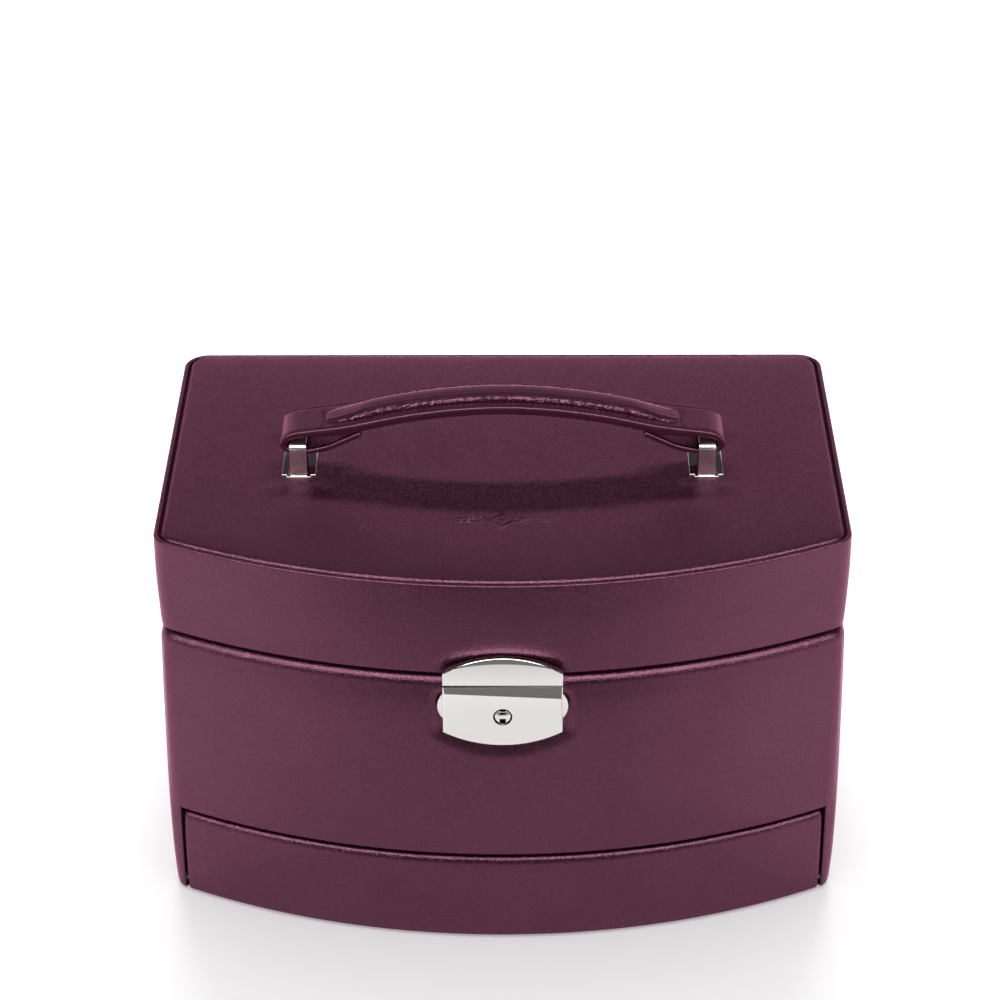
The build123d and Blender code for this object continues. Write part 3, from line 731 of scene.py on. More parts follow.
def make_body_skin():
    """Leather over the body: one skin round front, sides and back, open at the drawer's mouth. Each station
    of the plan has a column of points, from the lip inside the top over the roll and down the face."""
    path = plan_ring(0, counts=FINE)
    fall = BODY_TOP - TOP_ROLL - SHELF_EDGE - MOUTH_ROLL
    heights = [BODY_TOP - TOP_ROLL - fall * k / 38 for k in range(39)]
    lower = [SHELF_EDGE - (SHELF_EDGE - BODY_BOTTOM - FOOT_ROLL) * k / 16 for k in range(17)]
    points, faces, columns = [], [], []

    def outer(station, z, extra=0.0):
        x, y, _, ny = station
        inset = body_inset(z, facing_front(ny)) + 0.06 * wrinkle(x, y, z, 16)
        if ny < ON_FRONT:
            inset += lock_dent(x, z)
        return (*plan_point(station, inset + extra), z)

    lip = [(4.3, BODY_TOP - 0.75), (4.3, BODY_TOP), (4.15, BODY_TOP)]
    steps = 9
    for station in path:
        nx, ny = station[2:]
        base = outer(station, BODY_TOP - TOP_ROLL)
        column = [(*plan_point(station, inset), z) for inset, z in lip]
        for k in range(steps):
            angle = math.radians(90 + 90 * k / steps)
            shift = (2.9 + 0.9 * facing_front(ny)) * (1 + math.cos(angle))
            z = BODY_TOP - TOP_ROLL + TOP_ROLL * math.sin(angle)
            column.append((base[0] - shift * nx, base[1] - shift * ny, z))
        column += [outer(station, z) for z in heights]
        # The mouth ends on the round of the front corners
        if ny < -0.3 and abs(plan_point(station, BODY_INSET)[0]) < MOUTH_HALF:
            bottom, roll, shifts = SHELF_EDGE, MOUTH_ROLL, (0.16, 0.6, 1.2)
        else:
            bottom, roll, shifts = BODY_BOTTOM, FOOT_ROLL, (0.11, 0.4, 0.8)
            column += [outer(station, z) for z in lower]
        for angle, shift in zip(FOLD_ANGLES, shifts):
            drop = roll * math.sin(math.radians(angle))
            column.append(outer(station, bottom + roll - drop, shift))
        column.append(outer(station, bottom, TURNED_IN))
        columns.append([len(points) + k for k in range(len(column))])
        points += column
    # Columns at the mouth and beside it are alike down to the last of the heights
    shared = len(lip) + steps + len(heights)
    for i, column in enumerate(columns):
        after = columns[(i + 1) % len(columns)]
        length = len(column) if len(column) == len(after) else shared
        for k in range(length - 1):
            faces.append((column[k], after[k], after[k + 1], column[k + 1]))
        if len(column) != len(after):
            # The end of the leather beside the mouth is turned in, and pulled straight along the mouth
            tall, left = (column, True) if len(column) > len(after) else (after, False)
            posts = tall[shared - 1:]
            _, _, nx, ny = path[i] if left else path[(i + 1) % len(columns)]
            strips = [posts]
            for depth, pulled in ((0.25, 0.7), (0.7, 1.0), (1.5, 1.0), (TURNED_IN, 1.0)):
                row = []
                for index in posts:
                    x, y, z = points[index]
                    px, py = x - depth * nx, y - depth * ny
                    slide = (MOUTH_HALF - abs(px)) * math.copysign(1, x) * pulled
                    row.append(len(points))
                    points.append((px + slide, py, z))
                strips.append(row)
            for a, b in zip(strips, strips[1:]):
                for k in range(len(a) - 1):
                    quad = (a[k], b[k], b[k + 1], a[k + 1])
                    faces.append(quad if left else quad[::-1])
    add_piece("body_skin", points, faces, "case", "leather_outer", ["body_leather"])


# ---- Drawer front ----

def make_drawer_front():
    """Padded leather over the drawer's curved front: a deep roll along the top, small ones at the foot and
    at both ends, and a slightly swollen face. The top roll is drawn out from its depth to its height."""
    top_gap, end_gap = 0.3, 0.4
    low, high = drawer_low.z, drawer_high.z - top_gap
    half = drawer_high.x - end_gap
    face_inset, back_inset, swell = -0.1, 5.1, 0.6
    roll, tall = 2.4, 3.6
    end = 1.2
    section = [(back_inset, high - 0.35), (4.0, high - 0.1)]
    section += [(face_inset + roll + (inset - roll), high - tall + (z - roll) * tall / roll)
                for inset, z in quarter((roll, roll), roll, 90, 180, 10)]
    for k in range(1, 14):
        share = k / 14
        z = (high - tall) + (low + end - high + tall) * share
        section.append((face_inset - swell * math.sin(math.pi * share)**0.7, z))
    section += quarter((face_inset + end, low + end), end, 180, 270, 5)
    section += [(4.0, low), (back_inset, low)]
    middle = (low + high) / 2
    positions = list(np.linspace(-half + end, half - end, 190))
    ends = [half - end + end * math.sin(math.radians(a)) for a in (15, 30, 45, 60, 75, 90)]
    positions = [-x for x in reversed(ends)] + positions + ends
    points = []
    for x in positions:
        past = max(abs(x) - (half - end), 0)
        shrink = end - math.sqrt(max(end**2 - past**2, 0))
        for inset, z in section:
            pull = shrink * smoothstep(back_inset, face_inset + 0.5, inset)
            soft = 0.05 * wrinkle(x, 0, z, 15)
            deep = inset + pull + soft * smoothstep(2.0, 0.6, inset)
            lift = z + (middle - z) * 0.045 * shrink * smoothstep(4.5, 2.0, inset)
            points.append((x, bow_y(deep, x), lift))
    faces = [face[::-1] for face in grid_faces(len(positions), len(section))]
    left_cap, right_cap = end_caps(points, len(section))
    faces += [left_cap, right_cap[::-1]]
    add_piece("drawer_front_skin", points, faces, "drawer", "leather_outer", ["drawer_front_leather"])


# ---- Handle ----

STRAP_HALF = (strap_high.y - strap_low.y) / 2

# Outer line of the strap's right half, in X and Z: the arch, the loop round the staple and the tail under it
STRAP_RIGHT = [(0, 175.5), (18, 174.5), (36, 171.9), (51.8, 168.4), (60, 166.95), (67.5, 166.0), (73, 165.2),
               (76.6, 163.6), (78.3, 161.0), (77.4, 158.3), (74.4, 156.7), (71, 156.2), (66, 156.9),
               (60.7, 158.3), (55.0, 160.9), (49.5, 163.6)]


# Thickness of the two layers over the arch, how much less the loops have, and that of the tails
STRAP_THICK = 3.2
LOOP_LESS = 0.9
TAIL_THICK = 2.0


def strap_thickness(x):
    """Thickness of the strap's upper run: two layers over the arch, one in the loops."""
    return STRAP_THICK - LOOP_LESS * smoothstep(58, 76, abs(x))


def strap_line():
    """Outer line of the strap from the left tail over the arch to the right tail, with normals."""
    left = [(-x, z) for x, z in reversed(STRAP_RIGHT[1:])]
    line = curve_points([(x, z, 0) for x, z in left + STRAP_RIGHT], 0.55)
    found = []
    for i, p in enumerate(line):
        a, b = line[max(i - 1, 0)], line[min(i + 1, len(line) - 1)]
        along = (b - a).normalized()
        found.append((p.x, p.y, -along.y, along.x))
    return found


def strap_section():
    """Across the strap: Y and share of the depth. A raised lip runs along each edge of the upper face."""
    half = STRAP_HALF
    edge = [(2.2, 0.0), (1.45, 0.02), (1.2, 0.09), (1.0, 0.02), (0.7, -0.02), (0.3, 0.05), (0.06, 0.18),
            (0, 0.36), (0, 0.55), (0.05, 0.75), (0.3, 0.92), (0.8, 1.0)]
    one = [(-half + y, depth) for y, depth in edge]
    across = [(y, 0.0) for y in np.linspace(half - 2.8, -half + 2.8, 14)]
    under = [(y, 1.0) for y in np.linspace(-half + 2.0, half - 2.0, 10)]
    return across + one + under + [(-y, depth) for y, depth in reversed(one)]


def make_strap():
    """Leather strap: an arch whose ends fold round the staples and back underneath."""
    line = strap_line()
    section = strap_section()
    points = []
    for x, z, nx, nz in line:
        fold = smoothstep(-0.6, 0.2, nz)
        thick = strap_thickness(x) * fold + TAIL_THICK * (1 - fold)
        crumple = 0.12 * smoothstep(66, 50, abs(x)) if nz > -0.2 else 0.0
        for y, share in section:
            edge = smoothstep(STRAP_HALF - 1.2, STRAP_HALF - 0.2, abs(y)) * (1 - share)
            rough = crumple * edge * wrinkle(x, y, 0, 0.9)
            depth = share * thick + rough
            points.append((x - nx * depth, y, z - nz * depth))
    faces = [face[::-1] for face in grid_faces(len(line), len(section), False, True)]
    left_cap, right_cap = end_caps(points, len(section))
    faces += [left_cap, right_cap[::-1]]
    add_piece("handle_strap_leather", points, faces, "lid", "leather_handle", ["handle_strap"])


def strap_top(x):
    """Height of the strap's upper face at X, between the loops."""
    x_before, z_before = STRAP_RIGHT[1]
    line = curve_points([(px, pz, 0) for px, pz in [(-x_before, z_before)] + STRAP_RIGHT[:7]], 1.0)
    xs = [p.x for p in line]
    return float(np.interp(abs(x), xs, [p.y for p in line]))


CORE_END = core_high.x
CORE_HALF = core_high.y

# How high the core stands over the strap in the middle and near its ends, and the radius of its ends
CORE_RISE = 2.8
CORE_END_RISE = 0.9
CORE_CORNER = 4.4


def make_core():
    """Padded core stitched along the strap: a low smooth ridge with puckered flanks and rounded ends."""
    points = []
    around = np.linspace(0, math.pi, 44)
    stations = list(np.arange(0, CORE_END - CORE_CORNER, 0.3))
    stations += [CORE_END - CORE_CORNER * (1 - math.sin(math.radians(a))) for a in range(0, 90, 6)]
    stations = [-x for x in reversed(stations[1:])] + stations
    for x in stations:
        past = max(abs(x) - (CORE_END - CORE_CORNER), 0) / CORE_CORNER
        end = math.sqrt(max(1 - past * past, 0.0))
        half = CORE_HALF - CORE_CORNER * (1 - end)
        rise = CORE_END_RISE * end + (CORE_RISE - CORE_END_RISE) * smoothstep(CORE_END, CORE_END - 18, abs(x))
        slope = (strap_top(x + 0.3) - strap_top(x - 0.3)) / 0.6
        for angle in around:
            c, s = math.cos(angle), math.sin(angle)
            y = -half * math.copysign(abs(c)**0.84, c)
            lift = rise * s**0.74
            pucker = 1.5 * wrinkle(x * 0.7, 5 * s, math.copysign(4, c), 0.9) + 1.0 * wrinkle(x, 9 * s, 9, 0.5)
            swell = pucker * bump(s, 0.30, 0.42) * end
            seam = 0.35 * bump(abs(y), half * 0.55, 1.1) * (1 if c > 0 else 0.6)
            points.append((x - slope * lift, y - math.copysign(0.44 * swell, c),
                           strap_top(x) - 0.15 + lift + 0.38 * swell + 0.4 * seam * end))
    faces = grid_faces(len(stations), len(around))
    add_piece("handle_core_leather", points, faces, "lid", "leather_handle", ["handle_core"])


THREAD_RADIUS = 0.2


def thread_mesh(runs, radius):
    """Short rounded stitches, each a capsule between two points."""
    points, faces = [], []
    sides = 6
    for start, end in runs:
        start, end = Vector(start), Vector(end)
        along = (end - start).normalized()
        across = along.orthogonal().normalized()
        other = along.cross(across)
        tip = along * radius * 0.6
        middle = (start + end) / 2
        rings = [(start - tip, 0.45), (start, 1.0), (middle, 1.0), (end, 1.0), (end + tip, 0.45)]
        first = len(points)
        for centre, scale in rings:
            for k in range(sides):
                angle = 2 * math.pi * k / sides
                points.append(centre + (across * math.cos(angle) + other * math.sin(angle)) * radius * scale)
        start_cap, end_cap = end_caps(points, sides, first)
        faces += grid_faces(len(rings), sides, False, True, first) + [start_cap[::-1], end_cap]
    return points, faces


def make_stitches():
    """Zigzag row across the strap at each end of the core, and a running row along each side of it."""
    runs = []
    rows = 9
    for side in (-1, 1):
        x = side * (CORE_END + 1.0)
        for k in range(rows):
            y = -CORE_HALF - 0.6 + (2 * CORE_HALF + 1.2) * k / (rows - 1)
            z = strap_top(x) + 0.1
            runs.append(((x - 0.75, y - 0.5, z), (x + 0.75, y + 0.5, z)))
            runs.append(((x + 0.7, y - 0.45, z), (x - 0.7, y + 0.45, z + 0.08)))
    reach = CORE_END - 4
    pitch, half_stitch = 2.0, 0.62
    for y in (-CORE_HALF - 0.9, CORE_HALF + 0.9):
        for x in np.arange(-reach, reach, pitch):
            runs.append([(end, y, strap_top(end) + 0.05) for end in (x - half_stitch, x + half_stitch)])
    points, faces = thread_mesh(runs, THREAD_RADIUS)
    add_piece("handle_stitches", points, faces, "lid", "leather_handle")


# ---- Brackets ----

# The sign of X and the name of each side
SIDES = ((-1, "left"), (1, "right"))

# Half the depth of a bracket plate between its tabs, which is where the staple's legs stand
BRACKET_REACH = 9.9


def make_plates():
    """Bracket plates with softened edges and a narrow tab at the front and at the back."""
    tab, reach = 4.3, BRACKET_REACH
    front = [(-plate_half, -reach), (-tab, -reach), (-tab, plate_low.y)]
    front += [(-x, y) for x, y in reversed(front)]
    back = [(plate_half, reach), (tab, reach), (tab, plate_high.y)]
    back += [(-x, y) for x, y in reversed(back)]
    levels = edge_levels(0.3, 0, plate_high.z - plate_low.z)
    for side, name in SIDES:
        def place(u, v, depth):
            return side * plate_middle + u, v, plate_high.z - depth

        points, faces = bevelled_solid(front + back, levels, place)
        add_piece("bracket_plate_" + name, points, faces, "lid", "nickel", ["handle_plate_" + name], sharp=35)


def make_staples():
    """Strips bent into arches that pass through the strap's loops."""
    thick = 1.0
    bend = 1.5
    half = (staple_high.x - staple_low.x) / 2
    reach = BRACKET_REACH
    top = staple_high.z - thick / 2
    section = rounded_rectangle(half, thick / 2, 0.28)
    for side, name in SIDES:
        path = []
        for end in (-1, 1):
            leg = [(end * reach, plate_low.z, 90), (end * reach, top - bend, 90)]
            for k in range(1, 9):
                angle = math.radians(90 * k / 8)
                y = end * (reach - bend * (1 - math.cos(angle)))
                leg.append((y, top - bend + bend * math.sin(angle), 90 - 90 * k / 8))
            if end > 0:
                leg.reverse()
            for y, z, lean in leg:
                out = Vector((0, end * math.sin(math.radians(lean)), math.cos(math.radians(lean))))
                path.append((Vector((side * plate_middle, y, z)), Vector((1, 0, 0)), out))
        points, faces = sweep(path, section)
        add_piece("bracket_staple_" + name, points, faces, "lid", "nickel", ["handle_staple_" + name],
                  sharp=40, material="satin")


# ---- Lock ----

PLATE_EDGE = 0.4
LOCK_HALF = upper_high.x
KEY_Z = (key_low.z + key_high.z) / 2
KEY_HOLE = 3.3

# Half the length of the facet under the upper plate's arc, and its depth in the middle
BAND_REACH = 16.3
BAND_DEPTH = 1.7

# Depth of the lower plate's top strip in the middle, and how much deeper it is at the right
STRIP_DEPTH = 3.7
STRIP_SLANT = 1.05

# In degrees: the plates' shallow folds stay crisp
FOLD_SHARP = 2.0


def shield_loop(flat_z, side_z, tip_z, steps=40):
    """Lock plate outline in X and Z, anticlockwise from the front: a straight edge, two sides and an arc."""
    sagitta = abs(tip_z - side_z)
    radius = (LOCK_HALF**2 + sagitta**2) / (2 * sagitta)
    centre = tip_z + math.copysign(radius, side_z - tip_z)
    arc = []
    for k in range(steps + 1):
        x = LOCK_HALF * (1 - 2 * k / steps)
        arc.append((x, centre + math.copysign(math.sqrt(radius**2 - x * x), tip_z - side_z)))
    loop = [(-LOCK_HALF, flat_z), (LOCK_HALF, flat_z)] + arc
    if tip_z < flat_z:
        loop = [(LOCK_HALF, flat_z), (-LOCK_HALF, flat_z)] + arc[::-1]
    return loop


def pressed_plate(loop, front, back, lean, crease, hole=None):
    """Plate with a rounded edge. lean(x, z) is how far its face lies back, crease holds places on the fold,
    and hole is the radius of the key hole."""
    points = []
    for inset, depth in edge_levels(PLATE_EDGE, front, back)[::-1]:
        points += [(x, depth + lean(x, z), z) for x, z in offset_loop(loop, inset)]
    count = len(loop)
    faces = grid_faces(len(points) // count, count, False, True)
    faces.append(tuple(range(count)))

    def flat(numbers):
        return [(k, (points[k][0], points[k][2])) for k in numbers]

    loops = [flat(range(len(points) - count, len(points)))]
    if hole is not None:
        turns = 48
        start = len(points)
        for widening, depth in ((0.12, 0.0), (0, 0.08), (0, 1.0)):
            points += [(u, front + depth, KEY_Z + v) for u, v in circle(hole + widening, turns)]
        faces += grid_faces(3, turns, False, True, start)
        loops.append(flat(range(start, start + turns)))

    def place(x, z):
        return x, front + lean(x, z), z

    def in_hole(x, z):
        return hole is not None and math.hypot(x, z - KEY_Z) < hole

    fill_loops(points, faces, loops, crease, place, in_hole)
    return points, faces


def make_lock_plates():
    """Upper plate with a tapered facet under its arc, and lower plate whose top strip leans back."""
    upper = shield_loop(upper_low.z, UPPER_CORNER, upper_high.z)
    radius = (LOCK_HALF**2 + UPPER_RISE**2) / (2 * UPPER_RISE)
    arc_z = upper_high.z - radius

    def band(x):
        return BAND_DEPTH * max(1 - (x / BAND_REACH)**2, 0)

    def fold(x):
        return arc_z + math.sqrt(radius**2 - x * x) - PLATE_EDGE - band(x)

    def upper_lean(x, z):
        return 0.16 * max(z - fold(x), 0) if band(x) > 0 else 0.0

    places = [BAND_REACH * k / 20 for k in range(-19, 20)]
    crease = [(x, fold(x)) for x in places]
    points, faces = pressed_plate(upper, upper_low.y, upper_high.y, upper_lean, crease)
    add_piece("lock_plate_upper", points, faces, "lid", "nickel", ["lock_upper_plate"], sharp=FOLD_SHARP)

    def strip(x):
        return lower_high.z - STRIP_DEPTH - STRIP_SLANT * x / LOCK_HALF

    def lower_lean(x, z):
        return 0.085 * max(z - strip(x), 0)

    reach = LOCK_HALF - PLATE_EDGE
    crease = [(reach * k / 19.2, strip(reach * k / 19.2)) for k in range(-19, 20)]
    lower = shield_loop(lower_high.z, LOWER_CORNER, lower_low.z)
    points, faces = pressed_plate(lower, lower_low.y, lower_high.y, lower_lean, crease, KEY_HOLE)
    add_piece("lock_plate_lower", points, faces, "case", "nickel", ["lock_lower_plate"], sharp=FOLD_SHARP)


def make_springs():
    """Coil springs behind the push buttons.
    A coil fills a share of the way from post to button, from just off the post."""
    wire, turns, steps = 0.12, 5, 24
    start, share = 0.04, 0.90
    section = rounded_rectangle(wire, wire, wire * 0.9)
    for side, name in SIDES:
        low, high = box_mm("button_spring_" + name)
        post, button = sorted((low.x, high.x), key=abs)
        middle_y, middle_z = (low.y + high.y) / 2, (low.z + high.z) / 2
        radius = (high.z - low.z) / 2 - wire
        path = []
        for k in range(turns * steps + 1):
            angle = 2 * math.pi * k / steps
            out = Vector((0, math.cos(angle), math.sin(angle)))
            x = post + (button - post) * (start + share * k / (turns * steps))
            path.append((Vector((x, middle_y, middle_z)) + radius * out, Vector((side, 0, 0)), out))
        points, faces = sweep(path, section)
        piece = add_piece("button_coil_" + name, points, faces, "case", "steel", ["button_spring_" + name])
        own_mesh(piece)


def make_key_barrel():
    """Barrel in the key hole: a bright face cut away above and below its middle bar, and a plain rear."""
    radius = key_high.x
    slot, slot_low, slot_high = 1.05, -0.95, 0.65
    deep = 2.6
    edge = math.acos(slot / radius)
    arc = [edge * (2 * k / 16 - 1) for k in range(17)]
    right = [(slot, slot_low)]
    right += [(radius * math.cos(t), radius * math.sin(t)) for t in arc]
    right.append((slot, slot_high))
    loop = right + [(-u, v) for u, v in reversed(right)]

    def place(u, v, depth):
        return u, key_low.y + depth, KEY_Z + v

    points, faces = bevelled_solid(loop, edge_levels(0.16, 0, deep, 3), place)
    rear = [(0, deep), (0, key_high.y - key_low.y)]
    add_part(points, faces, bevelled_solid(circle(radius, 40), rear, place))
    add_piece("key_barrel_face", points, faces, "key", "nickel", ["key_barrel"], sharp=30)


# ---- Linings, trays and cushions ----

# Points on half the back, a corner, a side and the front, for what lies inside
COARSE = (12, 5, 16, 60)

LINING_INSET = 4.2
LINING_THICK = 0.8


def foot_arc(extra, floor, radius, rising=-1):
    """Section points of the round between a wall at an inset and a floor, or a ceiling with rising 1."""
    return [(extra + across, floor - rising * up) for across, up in rounding(radius, 5)]


def cap_ring(points, faces, first, count, room, extra, soft):
    """Fill a ring of points with a slightly uneven sheet."""
    inset, half, back = room(extra + 2.5)
    z = points[first][2]
    inner = []
    spacing = 4.7
    for i in range(-24, 25):
        for j in range(-17, 18):
            x, y = i * spacing, j * spacing
            if in_plan(inset, x, y, half, back):
                inner.append((x, y))
    ring = [(first + k, points[first + k][:2]) for k in range(count)]

    def place(x, y):
        return x, y, z + soft * wrinkle(x, y, z, 13)

    fill_loops(points, faces, [ring], inner, place)


def tub(room, corner, section, first_filled=True, soft=0.12):
    """Lining or covered box: rings of a plan at each (inset, height) of a section. room(extra) gives the
    ring's inset, half width and back. The last ring is filled, and so is the first with first_filled."""
    points = []
    for extra, z in section:
        ring = plan_ring(*room(extra), max(corner - extra, 0.5), COARSE)
        points += [(x, y, z) for x, y, _, _ in ring]
    count = len(ring)
    faces = grid_faces(len(section), count, False, True)
    last = len(points) - count
    if first_filled:
        cap_ring(points, faces, 0, count, room, section[0][0], soft)
    cap_ring(points, faces, last, count, room, section[-1][0], soft)
    return points, faces


def box_section(low, high, rim, foot, edge, floor):
    """Section of a covered box: up the outside, over the rim and down to the round at the floor.
    foot and edge give the insets of the outer face, with heights over its foot and depths under its rim."""
    section = [(inset, low + rise) for inset, rise in foot]
    section += [(inset, high - drop) for inset, drop in edge]
    section += [(rim - inset, high - drop) for inset, drop in reversed(edge)]
    return section + foot_arc(rim, floor, 2.2)


def make_linings():
    """Velour in the body and the lid, velour over the tray and the drawer's box, and felt underneath."""
    def body_room(extra):
        inset = LINING_INSET + extra
        return inset, HALF_WIDTH - inset, BACK - inset

    def room_of(low, high):
        return lambda extra: (low.y - FRONT + extra, high.x - extra, high.y - extra)

    edge = [(0.0, -1.4), (0.0, -0.4), (0.12, -0.1), (0.4, 0.0), (0.68, -0.1), (0.8, -0.4)]
    floor = shelf_high.z + LINING_THICK
    section = [(extra, BODY_TOP + z) for extra, z in edge] + foot_arc(LINING_THICK, floor, 2.2)
    points, faces = tub(body_room, 4.8, section, False)
    add_piece("compartment_velour", points, faces, "case", "velour", ["compartment_lining"], 60)
    ceiling = lid_lining_high.z - LINING_THICK
    section = [(extra, LID_BOTTOM - z) for extra, z in edge] + foot_arc(LINING_THICK, ceiling, 1.6, 1)
    points, faces = tub(lambda extra: body_room(extra - 0.2), 5.0, section, False)
    add_piece("lid_velour", points, faces, "lid", "velour", ["lid_lining"], 60)
    foot = [(1.0, 0), (0.3, 0.25), (0, 1)]
    edge = [(0, 1.4), (0.15, 0.6), (0.6, 0.15), (1.2, 0)]
    section = box_section(tray_low.z, tray_high.z, 3.2, foot, edge, partition_low.z)
    points, faces = tub(room_of(tray_low, tray_high), 2.0, section)
    add_piece("tray_velour", points, faces, "tray", "velour", ["tray_box", "tray_lining"], 60)
    foot = [(0.8, 0), (0.2, 0.2), (0, 0.8)]
    edge = [(0, 1.2), (0.12, 0.5), (0.5, 0.1), (1.0, 0)]
    section = box_section(box_low.z, box_high.z, 2.8, foot, edge, drawer_wall_low.z)
    points, faces = tub(room_of(box_low, box_high), 0.6, section)
    add_piece("drawer_velour", points, faces, "drawer", "velour", ["drawer_box", "drawer_lining"], 60)
    thick = felt_high.z - felt_low.z
    section = [(0.5, 0), (0.1, 0.12), (0, thick / 2), (0.1, thick - 0.12), (0.4, thick)]
    points, faces = tub(room_of(felt_low, felt_high), 3.0, section, soft=0.02)
    add_piece("base_felt_pad", points, faces, "case", "felt", ["base_felt"], 60)


def padded_wall(start, end, thick, low, high, curve):
    """Upright padded strip between two places, with its top edges rounded."""
    start, end = Vector(start), Vector(end)
    along = (end - start).normalized()
    side = Vector((-along.y, along.x))
    section = [(thick / 2, low)]
    section += [(thick / 2 - across, high - down) for across, down in rounding(curve, 6)]
    section += [(-u, z) for u, z in reversed(section)]
    steps = max(4, round((end - start).length / 4))
    points = []
    for i in range(steps + 1):
        centre = start.lerp(end, i / steps)
        for u, z in section:
            lift = 0.12 * wrinkle(centre.x, centre.y, z, 9) if z > low else 0.0
            swell = 1 + 0.05 * wrinkle(centre.x, centre.y, 40 + z, 7)
            spot = centre + side * u * min(swell, 1.0)
            points.append((spot.x, spot.y, z + min(lift, 0)))
    return points, grid_faces(steps + 1, len(section), False, True) + end_caps(points, len(section))


def make_walls():
    """Padded partitions of the tray and the drawer, the tray's ledges and the drawer's felt glides."""
    def strips(walls, thick, low, high, curve):
        """One mesh of padded strips, each given by its start and end in plan."""
        points, faces = [], []
        for start, end in walls:
            add_part(points, faces, padded_wall(start, end, thick, low.z, high.z, curve))
        return points, faces

    thick, curve = 2.0, 0.95
    low, high = partition_low, partition_high
    wall_x = roll_high.x + 1.5
    inset = low.x + HALF_WIDTH
    walls = []
    for x, far in ((-wall_x, -high.x), (wall_x, high.x)):
        walls.append(((x, bow_y(inset, x)), (x, high.y)))
        walls.append(((x + math.copysign(thick / 2, x), 4), (far, 4)))
    points, faces = strips(walls, thick, low, high, curve)
    add_piece("tray_partition_pads", points, faces, "tray", "velour", ["tray_partitions"], 50)
    low, high = drawer_wall_low, drawer_wall_high
    wall_x = 37
    walls = [((x, bow_y(8.0, x)), (x, high.y)) for x in (-wall_x, wall_x)]
    for start, end in ((low.x, -wall_x - 1), (1 - wall_x, wall_x - 1), (wall_x + 1, high.x)):
        walls.append(((start, 0), (end, 0)))
    points, faces = strips(walls, thick, low, high, curve)
    add_piece("drawer_partition_pads", points, faces, "drawer", "velour", ["drawer_partitions"], 50)
    low, high = ledge_low, ledge_high
    wide = 4.0
    middle = high.x - wide / 2
    walls = [((x, low.y), (x, high.y)) for x in (-middle, middle)]
    points, faces = strips(walls, wide, low, high, 0.9)
    add_piece("tray_ledge_pads", points, faces, "case", "velour", ["tray_ledges"], 50)
    low, high = glide_low, glide_high
    walls = [((x, low.y), (x, high.y)) for x in (-90, 90)]
    points, faces = strips(walls, 10.0, low, high, 0.3)
    add_piece("drawer_glide_strips", points, faces, "case", "felt", ["drawer_glides"], 50)


def make_mirror_frame():
    """Padded surround of the mirror, crowned between its edges, with sewn mitres at the corners."""
    top, face = frame_high.z, frame_low.z
    inset = frame_low.y - FRONT
    half_x, low_y, high_y = mirror_high.x, mirror_low.y, mirror_high.y
    outer = plan_ring(inset + 0.15, corner=3.5, counts=(30, 8, 40, 110))
    opening = [(-half_x, low_y), (half_x, low_y), (half_x, high_y), (-half_x, high_y)]
    inner = []
    for start, end in zip(opening, opening[1:] + opening[:1]):
        inner += [spot[:2] for spot in line_points(start, end, (0, 0), 60)]
    far_x = HALF_WIDTH - inset
    mitres = [(side * half_x, y, side * far_x, far_y)
              for side in (-1, 1) for y, far_y in ((low_y, bow_y(inset, far_x)), (high_y, BACK - inset))]

    def height(x, y):
        out = FRONT_RADIUS - inset - math.hypot(x, y - BOW_CENTRE)
        out = min(out, HALF_WIDTH - inset - abs(x), BACK - inset - y)
        near = max(abs(x) - half_x, low_y - y, y - high_y)
        puff = math.sqrt(max(1 - max(1 - min(out, near) / 5.5, 0)**2, 0))
        seam = 0.0
        for ax, ay, bx, by in mitres:
            along = Vector((bx - ax, by - ay)).normalized()
            offset = Vector((x - ax, y - ay))
            if offset.dot(along) > 0:
                seam = max(seam, math.exp(-(offset.cross(along) / 1.1)**2))
        folds = 0.22 * wrinkle(x, y, 0, 5) * seam + 0.10 * wrinkle(x, y, 3, 16)
        return top - (top - face - 0.35) * puff * (1 - 0.30 * seam) - folds * puff

    points = [(x, y, top) for x, y in inner] + [(x, y, top) for x, y, _, _ in outer]
    loops = [list(enumerate(inner)), [(len(inner) + k, spot[:2]) for k, spot in enumerate(outer)]]
    spots = []
    spacing = 1.4
    for i in range(-82, 83):
        for j in range(-58, 60):
            x, y = i * spacing, j * spacing
            hole = abs(x) < half_x + 0.5 and low_y - 0.5 < y < high_y + 0.5
            if not hole and in_plan(inset + 0.7, x, y):
                spots.append((x, y))
    faces = []
    fill_loops(points, faces, loops, spots, lambda x, y: (x, y, height(x, y)),
               lambda x, y: abs(x) < half_x and low_y < y < high_y)
    add_piece("mirror_surround", points, faces, "lid", "velour", ["mirror_frame"])


